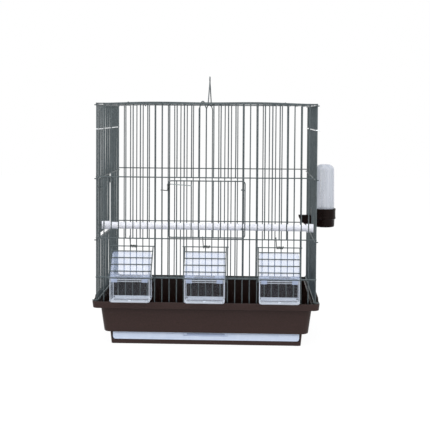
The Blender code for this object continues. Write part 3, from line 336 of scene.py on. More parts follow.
def mottledFinish(name, colours, roughness, patch, grain, waves, metallic=0.0, ior=1.5,
                  gloss=0.5, polish=None):
    # Colour and roughness follow one soft noise; a fine bump is the grain and a broad one the
    # waves of the surface. Grain and waves are (size, strength), polish is (colour, roughness,
    # gloss) of the marked faces, which are smoother and whose colour is painted shade on the tub
    # and the drawer and a painted highlight on the latch levers.
    finish, add, shader, spot = startFinish(name)
    clouds, grit, swell = (add("TexNoise", {
        "Vector": spot, "Scale": 1000 / size, "Detail": detail, "Roughness": fade})
        for size, detail, fade in ((patch, 4.0, 0.6), (grain[0], 2.0, 0.5), (waves[0], 1.0, 0.5)))
    colour = add("ValToRGB", {"Fac": clouds}, ramp=colours)
    rough = add("MapRange", {"Value": clouds, "From Min": 0.3, "From Max": 0.7,
                             "To Min": roughness[0], "To Max": roughness[1]})
    fine = add("Bump", {"Height": grit, "Strength": grain[1], "Distance": 0.0002})
    broad = add("Bump", {"Height": swell, "Strength": waves[1], "Distance": 0.001,
                         "Normal": fine})
    if polish:
        # Marked faces are smoother than the grained ones; their colour is painted shade on the tub
        # and the drawer, a painted highlight on a latch's lever.
        mark = add("Attribute", attribute_name="polished").outputs["Fac"]
        colour = add("Mix", {0: mark, 6: colour, 7: hexToLinear(polish[0])},
                     data_type="RGBA").outputs[2]
        flat, rough, gloss = (add("Mix", {0: mark, 2: grained, 3: smooth})
                              for grained, smooth in ((grain[1], 0.04), (rough, polish[1]),
                                                      (gloss, polish[2])))
        feedNode(fine, {"Strength": flat})
    feedNode(shader, {"Base Color": colour, "Roughness": rough, "Normal": broad,
                      "Metallic": metallic, "IOR": ior, "Specular IOR Level": gloss})
    return finish


# Steel wire under a thin satin coat of grey-green paint: soft half-metallic shine, no mirror.
paintedWire = mottledFinish(
    "grey_green_painted_wire", ((0.32, "#414a4c"), (0.68, "#586164")), (0.36, 0.52),
    patch=5.0, grain=(0.6, 0.15), waves=(9.0, 0.06), metallic=0.35)

# Spring wire of the latches and catches: oiled and darker, with a painted highlight on the levers.
springWire = mottledFinish(
    "dark_spring_wire", ((0.3, "#2c3333"), (0.7, "#414a49")), (0.30, 0.44),
    patch=4.0, grain=(0.5, 0.12), waves=(8.0, 0.05), metallic=0.5, polish=("#8d9696", 0.3, 0.5))

# Bright zinc plate on the two stay rods: the whitest metal on the cage.
brightZinc = mottledFinish(
    "bright_zinc_plate", ((0.3, "#d6dadd"), (0.7, "#f4f6f7")), (0.14, 0.26),
    patch=6.0, grain=(0.8, 0.10), waves=(10.0, 0.05), metallic=1.0)

# Injection-moulded polypropylene, brown, with a spark-eroded grain that breaks up its gloss.
# Inside the tub and in the rim's channel it is smoother, and its much darker colour there is
# painted shade.
brownPolypropylene = mottledFinish(
    "grained_brown_polypropylene", ((0.30, "#2f211d"), (0.55, "#352624"), (0.75, "#3c2926")),
    (0.42, 0.56), patch=2.6, grain=(0.9, 0.35), waves=(40.0, 0.10), ior=1.49, gloss=0.2,
    polish=("#140805", 0.24, 0.06))

# High-impact polystyrene of the drinker's base: nearly black brown with a soft shine.
darkPolystyrene = mottledFinish(
    "dark_brown_polystyrene", ((0.3, "#0d0402"), (0.7, "#160805")), (0.24, 0.34),
    patch=6.0, grain=(0.7, 0.08), waves=(18.0, 0.10), ior=1.59, gloss=0.07)

# Pale blue-white polypropylene of the drawer, satin.
# The finger grip's faces take a darker blue-grey, painted shade.
palePolypropylene = mottledFinish(
    "pale_polypropylene", ((0.3, "#c6d3ea"), (0.7, "#d2ddf0")), (0.34, 0.46),
    patch=12.0, grain=(0.8, 0.15), waves=(35.0, 0.10), ior=1.49, polish=("#9aa7c4", 0.30, 0.3))

# White polyethylene of the perch: waxy, with faint drawing lines.
whitePolyethylene = mottledFinish(
    "white_polyethylene", ((0.3, "#eceef8"), (0.7, "#fafaff")), (0.36, 0.50),
    patch=9.0, grain=(0.7, 0.12), waves=(14.0, 0.10), ior=1.51)


def clearFinish(name, colour, blend, cover, drawn=1.0, hazeSize=14.0, streaks=0.2):
    # Clear plastic, milkier towards grazing edges, where a moulding gathers light in its walls.
    # Cover is how much a flat face, an edge and a face marked milky hide of what lies behind.
    finish, add, shader, spot = startFinish(name)
    flat, edge, rim = cover
    stretched = add("Mapping", {"Vector": spot, "Scale": (1, 1, drawn)})
    haze = add("TexNoise", {"Vector": stretched, "Scale": 1000 / hazeSize,
                            "Detail": 3.0})
    rough = add("MapRange", {"Value": haze, "From Min": 0.3, "From Max": 0.7,
                             "To Min": 0.04, "To Max": 0.12})
    waves = add("TexNoise", {"Vector": spot, "Scale": 1000 / 22.0, "Detail": 1.0})
    bump = add("Bump", {"Height": waves, "Strength": 0.10, "Distance": 0.001})
    facing = add("LayerWeight", {"Blend": blend, "Normal": bump}).outputs["Facing"]
    thin = add("MapRange", {"Value": facing, "To Min": flat, "To Max": edge})
    cloud = add("MapRange", {"Value": haze, "From Min": 0.35, "From Max": 0.65,
                             "To Min": 1 - streaks, "To Max": 1 + streaks})
    uneven = add("Math", {0: thin, 1: cloud}, operation="MULTIPLY")
    # Milky marks rims and corners that show their whole thickness, where light gathers; shaded
    # marks the walls of a slot, painted dark as a painted reflection of the dark tub.
    milky, shaded = (add("Attribute", attribute_name=word).outputs["Fac"]
                     for word in ("milky", "shaded"))
    covered = add("MapRange", {"Value": milky, "To Min": uneven, "To Max": rim})
    alpha = add("Math", {0: covered, 1: shaded}, operation="MAXIMUM")
    tint = add("Mix", {0: shaded, 6: hexToLinear(colour), 7: hexToLinear("#3d4254")},
               data_type="RGBA")
    feedNode(shader, {"Base Color": tint.outputs[2], "Roughness": rough, "Normal": bump,
                      "Alpha": alpha, "IOR": 1.59})
    return finish


# Clear general-purpose polystyrene, injection moulded: glass-clear faces, whitish-blue edges.
clearPolystyrene = clearFinish("clear_polystyrene", "#e6eefb", 0.20, (0.008, 0.40, 0.80))
clearHood = clearFinish("clear_polystyrene_hood", "#becce8", 0.25, (0.24, 0.65, 0.75))
clearTube = clearFinish("clear_styrene_tube", "#d3d8e2", 0.30, (0.36, 0.75, 0.1),
                        drawn=0.04, hazeSize=5.0, streaks=0.22)
print("finishes made")


def wireX(number):
    return number * cage["pitch"] - cage["halfWidth"]


def wireY(number):
    return number * cage["pitch"] - cage["halfDepth"]


def uprightSpans(number, hasOpenings):
    # Stretches of an end panel's upright that the door and the feeders leave.
    past = cage["wireEnd"]
    spans, cuts = [(cage["foot"], cage["top"] + past)], []
    if hasOpenings and cage["doorWires"][0] < number < cage["doorWires"][1]:
        cuts.append((cage["lower"] + past, cage["middle"] - past))
    if hasOpenings and min(abs(number - n) for n in cage["feederWires"]) < cage["feederReach"]:
        cuts.append((cage["feeder"] + cage["crossing"] / 2, cage["lower"] - past))
    for low, high in sorted(cuts):
        first, last = spans.pop()
        spans += [(first, low), (high, last)]
    return [span for span in spans if span[1] - span[0] > cage["shortest"]]


def endPanel(name, hasOpenings):
    # Uprights, a hairpin in place of the middle two, and level wires in front of them.
    side = -1 if hasOpenings else 1
    plane = side * cage["halfDepth"]
    levels = pick(cage, "top middle lower " + ("feeder" if hasOpenings else "backFoot"))
    loop = cage["arch"]
    arch = (loop["wire"], loop["wire"] + 1)
    wires, beads = [], []
    for number in range(cage["frontWires"]):
        x, spans = wireX(number), uprightSpans(number, hasOpenings)
        wires += [((x, plane, low), (x, plane, high))
                  for low, high in (spans[:-1] if number in arch else spans)]
        beads += [(x, plane + side * cage["beadOut"], level) for level in levels
                  if any(low - 1 < level < high + 1 for low, high in spans)]
    low, lean = uprightSpans(arch[0], hasOpenings)[-1][0], cage["top"] - loop["lean"]
    middle = (wireX(loop["wire"] + 0.5), plane, cage["top"] + loop["rise"])
    ring = arcPath(middle, loop["radius"], 175, 5, 12, (1, 0, 0), (0, 0, 1))
    left, right = (roundPath([(wireX(number), plane, low), (wireX(number), plane, lean), tip],
                             loop["bend"]) for number, tip in zip(arch, (ring[0], ring[-1])))
    hairpin = chain([left[:-1], ring, right[-2::-1]])
    parts = [sweepWire(hairpin, (0, 1, 0)), straightWires(*zip(*wires), (0, 1, 0))]
    reach = cage["halfWidth"] + cage["wireEnd"]
    front = plane + side * cage["crossing"]
    halves = [reach] * 3 + ([] if hasOpenings else [reach - cage["pitch"]])
    rows = np.array([(half, front, level) for half, level in zip(halves, levels)])
    parts.append(straightWires(rows * (-1, 1, 1), rows, (0, 1, 0)))
    if hasOpenings:
        y, z = pick(cage, "feederWireY feeder")
        parts.append(straightWires([(-reach, y, z)], [(reach, y, z)], (0, 1, 0),
                                   cage["feederWireRadius"], sides=12, bow=0.1))
    wide, deep = cage["bead"]
    parts.append(weldBeads(beads, (wide, deep, wide)))
    makePiece(name, parts, paintedWire)


def hookedWire(height, tip, plane, side):
    # A front-to-back wire: straight at plane, a quarter turn round each corner wire, and a tip.
    corner, wrap, edge = pick(cage, "halfDepth wrap halfWidth")
    front = chain([[(edge + tip, -corner - wrap, height)],
                   arcPath((edge, -corner, height), wrap, 270, 180, 6,
                           (1, 0, 0), (0, 1, 0)),
                   [(plane, cage["hookRun"] - corner, height)]])
    path = chain([front, front[::-1] * (1, -1, 1)]) * (side, 1, 1)
    return sweepWire(path, (0, 0, 1))


def sidePanel(name, side, hasDoor):
    # Uprights, and level wires inside them whose ends hook round the corner wires.
    x, past = side * cage["halfWidth"], cage["wireEnd"]
    top = cage["sideTop"] + past
    wires, beads = [], []
    levels = pick(cage, "sideFoot sideLower sideMiddle sideTop")
    for number in range(1, cage["sideWires"] - 1):
        spans = [(cage["foot"], top)]
        if hasDoor and cage["sideDoorWires"][0] < number < cage["sideDoorWires"][1]:
            spans = [(cage["foot"], cage["sideLower"] + past), (cage["sideMiddle"] - past, top)]
        y = wireY(number)
        wires += [((x, y, low), (x, y, high)) for low, high in spans]
        beads += [(x - side * cage["beadOut"], y, level) for level in levels]
    wide, deep = cage["bead"]
    parts = [straightWires(*zip(*wires), (1, 0, 0)), weldBeads(beads, (deep, wide, wide))]
    for level in levels:
        tip = cage["footTip"] if level == cage["sideFoot"] else cage["hookTip"]
        parts.append(hookedWire(level, tip, cage["halfWidth"] - cage["crossing"], side))
    makePiece(name, parts, paintedWire)


endPanel("front_panel", True)
endPanel("back_panel", False)
sidePanel("left_panel", -1, True)
sidePanel("right_panel", 1, False)
for word, side in (("left", -1), ("right", 1)):
    rod = hookedWire(cage["stay"], cage["stayTip"], cage["halfWidth"] - cage["wrap"], side)
    makePiece("stay_rod_" + word, [rod], brightZinc)
print("panels made")

roof = {"edge": 417.1, "arch": 1.9, "crown": 1.2, "bows": 4, "bowPast": 0.5, "stations": 48,
        "reach": 122.7, "hookX": 133.5, "hookStart": 2.0, "hookDrop": 3.0, "beadDeep": 0.95}


def crown(x):
    # A shallow arch with a hump on either side: arch (1 - u u) + crown sin(pi u) squared.
    share = np.asarray(x) / cage["halfWidth"]
    return roof["arch"] * (1 - share ** 2) + roof["crown"] * np.sin(np.pi * share) ** 2


def roofPanel():
    # Straight front-to-back wires under bowed cross wires, with two hooks at each end.
    x = wireX(np.arange(1, cage["frontWires"] - 1))
    z = roof["edge"] + crown(x) - cage["crossing"]
    end = roof["reach"] + cage["wireEnd"]
    parts = [straightWires(spread(x, -end, z), spread(x, end, z), (0, 0, 1))]
    beads = []
    half = cage["halfWidth"] + roof["bowPast"]
    stations = np.linspace(-half, half, roof["stations"])
    for y in np.linspace(-roof["reach"], roof["reach"], roof["bows"]):
        bow = spread(stations, y, roof["edge"] + crown(stations))
        parts.append(sweepWire(bow, (0, 1, 0), sides=8))
        beads.append(spread(x, y, z + cage["crossing"] / 2))
    wrap, top, far = cage["wrap"], cage["top"], roof["hookX"]
    start = max(roof["edge"] + float(crown(far)) + 0.5, top + wrap)
    for hookX, side in ((-far, -1), (-far, 1), (far, -1), (far, 1)):
        line = side * (cage["halfDepth"] + cage["crossing"])
        hook = chain([
            [(hookX, side * (roof["reach"] - roof["hookStart"]), start)],
            arcPath((hookX, line, top), wrap, 90, 0, 7, (0, side, 0), (0, 0, 1)),
            [(hookX, line + side * wrap, top - roof["hookDrop"])]])
        parts.append(sweepWire(hook, (1, 0, 0)))
    wide = cage["bead"][0]
    parts.append(weldBeads(chain(beads), (wide, wide, roof["beadDeep"])))
    makePiece("roof_panel", parts, paintedWire)


roofPanel()
print("roof made")


base = {
    "flange": (195.3, 131.5, 10.0), "flangeFoot": 66.5, "flangeDraft": 1.2, "rim": 78.0,
    "channel": 4.0, "bodyTop": (183.3, 120.0, 12.0), "bodyFoot": (177.4, 114.1, 12.0),
    "housingTop": (166.6, 107.5, 3.0), "housingFoot": (164.6, 106.0, 3.0), "housingHeight": 22.0,
    "wall": 2.0, "lipHalf": 100.0, "lipHeight": 4.5, "lipThick": 1.2,
    "runnerTop": 8.0, "runnerWide": 3.0, "runnerSpacing": 100.0,
}


def baseTub():
    # Rounded rectangles from the flat underside up the outside, over the rim and down inside.
    wall, rim, step, draft = pick(base, "wall rim housingHeight flangeDraft")
    flange, top, foot, high, low = pick(base, "flange bodyTop bodyFoot housingTop housingFoot")
    under, skirt = rim - base["channel"] - wall, base["flangeFoot"]
    sections = (
        insetRows(low, [(0.5, 0.0), (0.0, 0.5)]) + insetRows(high, [(0.0, step)])
        + insetRows(foot, [(2.0, step), (0.9, step + 0.3), (0.3, step + 1.0), (0.0, step + 2.5)])
        + insetRows(top, [(0.0, under - 0.6), (-0.6, under)])
        + insetRows(flange, [(2 * wall, under), (draft + wall, skirt + 0.3),
                             (draft + wall - 0.3, skirt), (draft + 0.3, skirt),
                             (draft, skirt + 0.3), (0.1, rim - 1.3), (0.25, rim - 0.6),
                             (0.6, rim - 0.2), (1.0, rim), (wall - 0.3, rim), (wall, rim - 0.3),
                             (wall, rim - 4.0)])
        + insetRows(top, [(-0.8, rim - 4.0), (wall - 0.4, rim - 4.3), (wall, rim - 5.2)])
        + insetRows(foot, [(wall, step + wall)]) + insetRows(high, [(wall, step + wall)])
        + insetRows(low, [(wall, wall)]))
    tub = makePiece("base_tub", [loftLoops(roundedLoops(sections))], brownPolypropylene)
    # Raised lips along the middle of the two side rims keep seed in.
    half, tall, thick = pick(base, "lipHalf lipHeight lipThick")
    rise = [(half, -2), (half - 1.5, 1.5), (half - 5, tall - 0.6), (half - 9, tall)]
    outline = [(-half, -2), *rise, *((-x, z) for x, z in rise[:0:-1])]
    for side in (-1, 1):
        joinOrCut(tub, panelShape(outline, thick, lambda p: np.c_[
            side * (flange[0] - thick) + p[:, 2], p[:, 0], rim + p[:, 1]]))
    runner, runnerTop = base["runnerWide"] / 2, base["runnerTop"]
    for x in (-base["runnerSpacing"], 0, base["runnerSpacing"]):
        joinOrCut(tub, boxShape((x - runner, 1 - low[1], 1), (x + runner, low[1] - 1, runnerTop)))
    joinOrCut(tub, boxShape((wall - low[0], -high[1] - 10, runnerTop),
                            (low[0] - wall, 7 - low[1], step)), "DIFFERENCE")
    tub.data.set_sharp_from_angle(angle=math.radians(30))

    def polished(middles):
        # All inside the walls and the rim's channel, smoother than the grained outside and painted
        # darker there as painted shade. A rounded rectangle holds a point that is less than its
        # radius past the square part.
        x, y, z = np.abs(middles).T

        def within(halfX, halfY, radius):
            return np.hypot(np.maximum(x - halfX + radius, 0),
                            np.maximum(y - halfY + radius, 0)) < radius

        share = np.clip((z - step) / (under - step), 0, 1)
        walls = [np.where(z < step, low[k], foot[k] + (top[k] - foot[k]) * share) for k in (0, 1)]
        inside = within(walls[0] - wall / 2, walls[1] - wall / 2,
                        np.where(z < step, low[2], foot[2])) & (z > 1.0)
        channel = within(flange[0] - 1, flange[1] - 1, flange[2]) & (z > rim - 4.5)
        return inside | (channel & (z < rim + 0.1))

    markFaces(tub, "polished", polished)


drawer = {"half": 161.6, "front": -107.5, "back": 101.0, "foot": 8.3, "sideTall": 10.8,
          "frontTall": 13.2, "wall": 1.4, "frontThick": 2.5, "corner": 5.0,
          "gripHalf": 38.5, "gripTall": 6.2, "gripDepth": 1.4, "ledge": 2.0, "ledgeShare": 0.85}


def litterDrawer():
    # A tray through rounded loops, a front plate, and a finger grip with a ledge cut into it.
    half, front, foot, tall, corner = pick(drawer, "half front foot sideTall corner")
    depth, middle = (drawer["back"] - front) / 2, (drawer["back"] + front) / 2
    sections = insetRows((half, depth, corner), [
        (0.6, 0.0), (0.0, 0.6), (-0.6, tall - 0.3), (-0.3, tall), (1.1, tall), (1.4, tall - 0.3),
        (2.0, 2.2), (2.8, drawer["wall"])])
    loops = roundedLoops(sections) + (0, middle, foot)
    tray = makePiece("drawer", [loftLoops(loops)], palePolypropylene, "drawer")
    top, thick = foot + drawer["frontTall"], drawer["frontThick"]
    joinOrCut(tray, panelShape(plateOutline(half, top, foot, corner, 8), thick, lambda p: np.c_[
        p[:, 0], front + thick / 2 - p[:, 2], p[:, 1]]))
    grip, deep, ledge = drawer["gripHalf"], front + drawer["gripDepth"], drawer["ledge"]
    gripFoot, ledgeHalf = top - drawer["gripTall"], grip * drawer["ledgeShare"]
    joinOrCut(tray, boxShape((-grip, front - 1, gripFoot), (grip, deep, top + 1)), "DIFFERENCE")
    joinOrCut(tray, boxShape((-ledgeHalf, front, gripFoot + ledge),
                             (ledgeHalf, deep + 0.5, gripFoot + 2 * ledge)))
    tray.data.set_sharp_from_angle(angle=math.radians(30))
    # The ledge and the foot of the finger grip take a darker colour, painted shade.
    markFaces(tray, "polished", lambda m: (np.abs(m[:, 0]) < grip + 0.1) & (m[:, 1] > front - 0.1)
              & (m[:, 1] < deep - 0.1) & (m[:, 2] > gripFoot - 0.1))
    softenEdges(tray, 0.35)


baseTub()
litterDrawer()
print("base and drawer made")


door = {"latchX": -63.8, "hingeX": 66.5, "low": 189.8, "high": 286.3, "plane": -129.0,
        "corner": 5.0, "hookInset": 15.0, "hingeWire": 62.5, "bow": 0.12, "beadDeep": 0.95}
latch = {"wire": 0.75, "turns": 5, "top": 280.8, "low": 269.8, "lever": 40.0, "catchX": -75.0,
         "catchTip": 3.0, "perTurn": 16}


def onFront(points):
    return points


def onLeftSide(points):
    # The same door, a quarter turn round onto the left panel.
    x, y, z = np.asarray(points).T
    return np.c_[-62.5 + y, -25.0 - x, z]


def wireDoor(name, place):
    # A rim of one bent wire, bars behind it, and two hooks round the panel's upright.
    latchX, hingeX, low, high, plane = pick(door, "latchX hingeX low high plane")
    corners = [(latchX, plane, low), (hingeX, plane, low),
               (hingeX, plane, high), (latchX, plane, high)]
    rim = roundPath(corners, door["corner"], 7, closed=True)
    parts = [sweepWire(rim, (0, 1, 0), closed=True)]
    x = wireX(np.arange(cage["doorWires"][0] + 1, cage["doorWires"][1]))
    behind, past = plane + cage["crossing"], cage["wireEnd"]
    parts.append(straightWires(spread(x, behind, low - past), spread(x, behind, high + past),
                               (0, 1, 0), bow=door["bow"]))
    beads = [spread(x, behind - cage["crossing"] / 2, z) for z in (low, high)]
    wide = cage["bead"][0]
    parts.append(weldBeads(chain(beads), (wide, door["beadDeep"], wide)))
    for z in (low + door["hookInset"], high - door["hookInset"]):
        loop = arcPath((door["hingeWire"], -cage["halfDepth"], z), cage["wrap"], -70, -310, 18,
                       (1, 0, 0), (0, 1, 0))
        hook = chain([[(hingeX, plane, z)], loop])
        parts.append(sweepWire(hook, (0, 0, 1)))
    makePiece(name, [(place(points), quads, caps) for points, quads, caps in parts],
              paintedWire, name)


def doorLatch(name, place):
    # Lever, a close coil round the door's edge wire, and a catch bent behind the panel.
    thin, edge, top, low, turns = pick(latch, "wire catchX top low turns")
    radius = cage["wireRadius"] + cage["play"] + thin
    x, y = pick(door, "latchX plane")
    front, back, clear, end = y - radius, -cage["halfDepth"], radius + 0.1, x + latch["lever"]
    lever = roundPath([(end, front, top - 4.5), (end - 1, front, top - 2.5), (x + 4, front, top)],
                      0.9, 4)
    winding = arcPath((x, y, top), radius, -90, -90 - 360 * turns, turns * latch["perTurn"],
                      (1, 0, 0), (0, 1, 0), (0, 0, low - top))
    catch = [(x - 4, front + 0.4, low), (edge + clear + 1.2, back - 2.2, low),
             (edge + clear, back + 0.8, low), (edge + 0.9, back + clear, low),
             (edge - latch["catchTip"], back + clear, low)]
    path = place(chain([lever, winding, catch]))
    piece = makePiece(name, [sweepWire(path, (0, 0, 1), thin, 8)], springWire, name)
    axis = place([(x, y, 0.0)])[0]
    # Only the lever's far end gets the painted highlight.
    markFaces(piece, "polished", lambda m: (m[:, 2] > top - 5.5)
              & (np.hypot(m[:, 0] - axis[0], m[:, 1] - axis[1]) > 4))


for word, place in (("front", onFront), ("side", onLeftSide)):
    wireDoor(word + "_door", place)
    doorLatch(word + "_door_latch", place)
print("doors made")


feeder = {
    "topWire": (-128.9, 173.9), "lowBar": (-168.1, 126.2), "rim": 123.9, "cupHalf": 34.0,
    "cupFront": -168.0, "cupBack": -129.4, "cupTall": 40.0, "cupWall": 1.4, "cupCorner": 3.5,
    "band": 4.4, "footLine": 4.2, "lineWide": 0.8, "cloudy": 0.10, "gateRise": 4.4,
    "barRadius": 0.9, "bars": 5, "barPast": 1.08, "firstBar": 0.16, "topHalf": 39.5,
    "bow": 0.05, "bead": (1.1, 1.0, 1.0), "hoodThick": 1.2, "hoodHalf": 33.4,
    "hoodCorner": 6.0, "hoodTop": 0.14, "slot": (34.0, 2.0), "slotAt": 0.085,
    "tabHalf": 5.0, "tabThick": 0.8, "catchOffset": -4.0, "catchTurns": 4, "catchWide": 11.5,
}


def alongSlope(share, offset=0.0):
    # A point (Y, Z) down the guard's slope, moved inwards by the offset.
    top, foot = np.array(feeder["topWire"]), np.array(feeder["lowBar"])
    run = foot - top
    return top + run * share + unit(np.array([-run[1], run[0]])) * offset


def guardFrame(name, x0, body):
    # Two bent side wires that hook on the thick wire, and level bars across them.
    thin, wireAt, wireUp = feeder["barRadius"], cage["feederWireY"], cage["feeder"]
    half = feeder["cupHalf"] + cage["play"] + thin
    hook = cage["feederWireRadius"] + cage["play"] + thin
    (topY, topZ), (bendY, bendZ) = alongSlope(0, 1.4), alongSlope(1.02, 1.4)
    parts = []
    for x in (x0 - half, x0 + half):
        path = chain([
            [(x, topY - 0.2, topZ + 1.0), (x, bendY, bendZ), (x, bendY + 3.0, wireUp + hook),
             (x, wireAt - 0.5, wireUp + hook)],
            arcPath((x, wireAt, wireUp), hook, 90, 0, 8, (0, 1, 0), (0, 0, 1)),
            [(x, wireAt + hook, wireUp - 7)]])
        parts.append(sweepWire(path, (1, 0, 0), thin, 8))
    shares = [0.0, *np.linspace(feeder["firstBar"], 1, feeder["bars"])]
    reaches = [feeder["topHalf"]] + [half + feeder["barPast"]] * feeder["bars"]
    starts, ends = ([(x0 + sign * reach, *alongSlope(share))
                     for share, reach in zip(shares, reaches)] for sign in (-1, 1))
    parts.append(straightWires(starts, ends, (0, 1, 0), thin, bow=feeder["bow"]))
    beads = [(x0 + sign * half, *alongSlope(share, 0.7)) for share in shares for sign in (-1, 1)]
    parts.append(weldBeads(beads, feeder["bead"]))
    makePiece(name, parts, paintedWire, body)


def feederCup(name, x0, body):
    # An open box through rounded loops, outside up and inside down, with a lip at the back.
    half, wall, corner, rim, front, back, line, band = pick(
        feeder, "cupHalf cupWall cupCorner rim cupFront cupBack lineWide band")
    depth, middle = (back - front) / 2, (back + front) / 2
    floor, lift = rim - feeder["cupTall"], corner - wall
    rows = [floor + feeder["footLine"], floor + feeder["footLine"] + line,
            rim - band, rim - band + line, rim - line]

    def wallRows(radius, height):
        # (inset, height) up a quarter circle, radius (1 - sin a), height + radius (1 - cos a),
        # and straight on up the wall.
        return [(radius * (1 - math.sin(a)), height + radius * (1 - math.cos(a)))
                for a in np.linspace(0, np.pi / 2, 6)] + [(0, row) for row in rows + [rim - 0.3]]

    sections = (insetRows((half, depth, corner), wallRows(corner, floor))
                + insetRows((half, depth, corner - 0.3), [(0.3, rim)])
                + insetRows((half, depth, lift + 0.3), [(wall - 0.3, rim)])
                + insetRows((half - wall, depth - wall, lift),
                            wallRows(lift, floor + wall)[::-1]))
    loops = roundedLoops(sections, 6) + (x0, middle, 0)
    cup = makePiece(name, [loftLoops(loops)], clearPolystyrene, body, sharp=35)
    lipFoot = cage["feeder"] + cage["feederWireRadius"] + cage["play"]
    reach = half - corner
    joinOrCut(cup, boxShape((x0 - reach, back - wall + 0.1, lipFoot),
                            (x0 + reach, 1.0 - cage["halfDepth"], lipFoot + 1.2)))
    # A small gate mark at the foot of the front, in its middle.
    gateUp = floor + feeder["gateRise"]
    joinOrCut(cup, weldBeads([(x0, front + 0.25, gateUp)], (3.0, 0.55, 1.1), 16))

    def milky(middles):
        # Light gathers in the corners, the rim and two lines along the walls; the strips under
        # the rim and along the foot are a little cloudy.
        x, y, z = np.abs(middles - (x0, middle, 0)).T
        line = ((z > rows[0]) & (z < rows[1])) | ((z > rows[2]) & (z < rows[3]))
        bright = (z > rows[4]) | (z < floor + 1.1) | ((half - x < 1.8) & (depth - y < 1.8))
        mark = np.where((z > rows[3]) | (z < rows[0]), feeder["cloudy"], 0.0)
        flat = (half - x > corner) & (depth - y > corner) & (z < floor + wall + 0.2)
        gate = (np.hypot(x, z - gateUp) < 3.2) & (y > depth - 1)
        return np.where(gate | (bright & ~flat), 0.8, np.where(line, 0.45, mark))

    markFaces(cup, "milky", milky)


def feederHood(name, x0, body):
    # A sloping plate with a slot, two cheeks towards the panel and two tabs before the cup.
    thick, half, corner, rim, front = pick(feeder, "hoodThick hoodHalf hoodCorner rim cupFront")
    offset = feeder["barRadius"] + cage["play"] + thick / 2
    topY, topZ = alongSlope(feeder["hoodTop"], offset)
    slopeY, slopeZ = alongSlope(0.985, offset)
    footZ = rim + cage["play"] + thick / 2
    footY = topY + (slopeY - topY) * (footZ - topZ) / (slopeZ - topZ)
    length = math.hypot(footY - topY, footZ - topZ)
    upY, upZ = (topY - footY) / length, (topZ - footZ) / length
    outline = plateOutline(half, 0, length, corner, 7)
    axes = np.array([(1, 0, 0), (0, upY, upZ), (0, -upZ, upY)])

    def onSlope(points):
        return points @ axes + (x0, footY, footZ)

    hood = makePiece(name, [panelShape(outline, thick, onSlope)], clearHood, body, sharp=30)
    slotHalf, slotTall = feeder["slot"][0] / 2, feeder["slot"][1]
    slotAt = feeder["slotAt"] * length
    points, quads, caps = boxShape((-slotHalf, slotAt, -10), (slotHalf, slotAt + slotTall, 10))
    joinOrCut(hood, (onSlope(points), quads, caps), "DIFFERENCE")

    def inSlot(middles):
        local = (middles - (x0, footY, footZ)) @ axes.T - (0, slotAt + slotTall / 2, 0)
        return np.all(np.abs(local) < (slotHalf + 0.1, slotTall / 2 + 0.1, thick), axis=1) * 0.9

    cheekBack = -cage["halfDepth"] - cage["crossing"] - 3.0
    cheekTop = topZ - corner
    cheekFront = topY + (footY - topY) * (cheekTop - topZ) / (footZ - topZ)
    cheek = [(footY, footZ), (cheekBack, footZ), (cheekBack, cheekTop), (cheekFront, cheekTop)]
    outside, wide = front - cage["play"], feeder["tabHalf"]
    over, up = rim + cage["play"], rim + cage["play"] + feeder["tabThick"]
    for sign in (-1, 1):
        x = x0 + sign * (half - thick / 2)
        joinOrCut(hood, panelShape(cheek, thick, lambda p: np.c_[x + p[:, 2], p[:, 0], p[:, 1]]))
        tabX = x0 + sign * (feeder["cupHalf"] - feeder["cupCorner"] - wide)
        joinOrCut(hood, boxShape((tabX - wide, outside - feeder["tabThick"], rim - 5.2),
                                 (tabX + wide, outside, up)))
        joinOrCut(hood, boxShape((tabX - wide, outside - 0.4, over),
                                 (tabX + wide, footY + 1.2, up)))
    # The slot's walls are painted dark, a painted reflection of the tub.
    markFaces(hood, "shaded", inSlot)
    markFaces(hood, "milky", lambda m: (m[:, 1] < front + 0.1) * 0.3)
    softenEdges(hood, 0.25)


def feederCatch(name, x0):
    # An arm behind the panel's level wire and a coil round the guard's top wire.
    (y, z), thin, play = feeder["topWire"], latch["wire"], cage["play"]
    radius = feeder["barRadius"] + play + thin
    start = x0 + feeder["catchOffset"]
    behind = -cage["halfDepth"] - cage["crossing"] + cage["wireRadius"] + play + thin + 0.2
    arm = roundPath([(start - 1.5, behind, cage["lower"] + 4), (start - 0.3, behind, z + 1.2),
                     (start, y + radius, z - 0.2)], 0.8, 4)
    winding = arcPath((start, y, z), radius, 0, -360 * feeder["catchTurns"],
                      feeder["catchTurns"] * latch["perTurn"], (0, 1, 0), (0, 0, 1),
                      (feeder["catchWide"], 0, 0))
    path = chain([arm[:-1], winding])
    makePiece(name, [sweepWire(path, (1, 0, 0), thin, 8)], springWire, name)


for word, wire in zip(("left", "centre", "right"), cage["feederWires"]):
    for make, piece in ((guardFrame, "frame"), (feederCup, "cup"), (feederHood, "cover")):
        make(f"feeder_{piece}_{word}", wireX(wire), "feeder_" + word)
    feederCatch("feeder_catch_" + word, wireX(wire))
print("feeders made")


perch = {"left": (-189.9, -50.0, 199.5), "right": (187.5, -62.5, 199.5), "radius": 6.0,
         "capRadius": 7.5, "capLength": 14.5, "capPast": 1.3, "socket": 9.0, "slotHalf": 1.3,
         "swell": 0.05, "swellSize": 17.0}


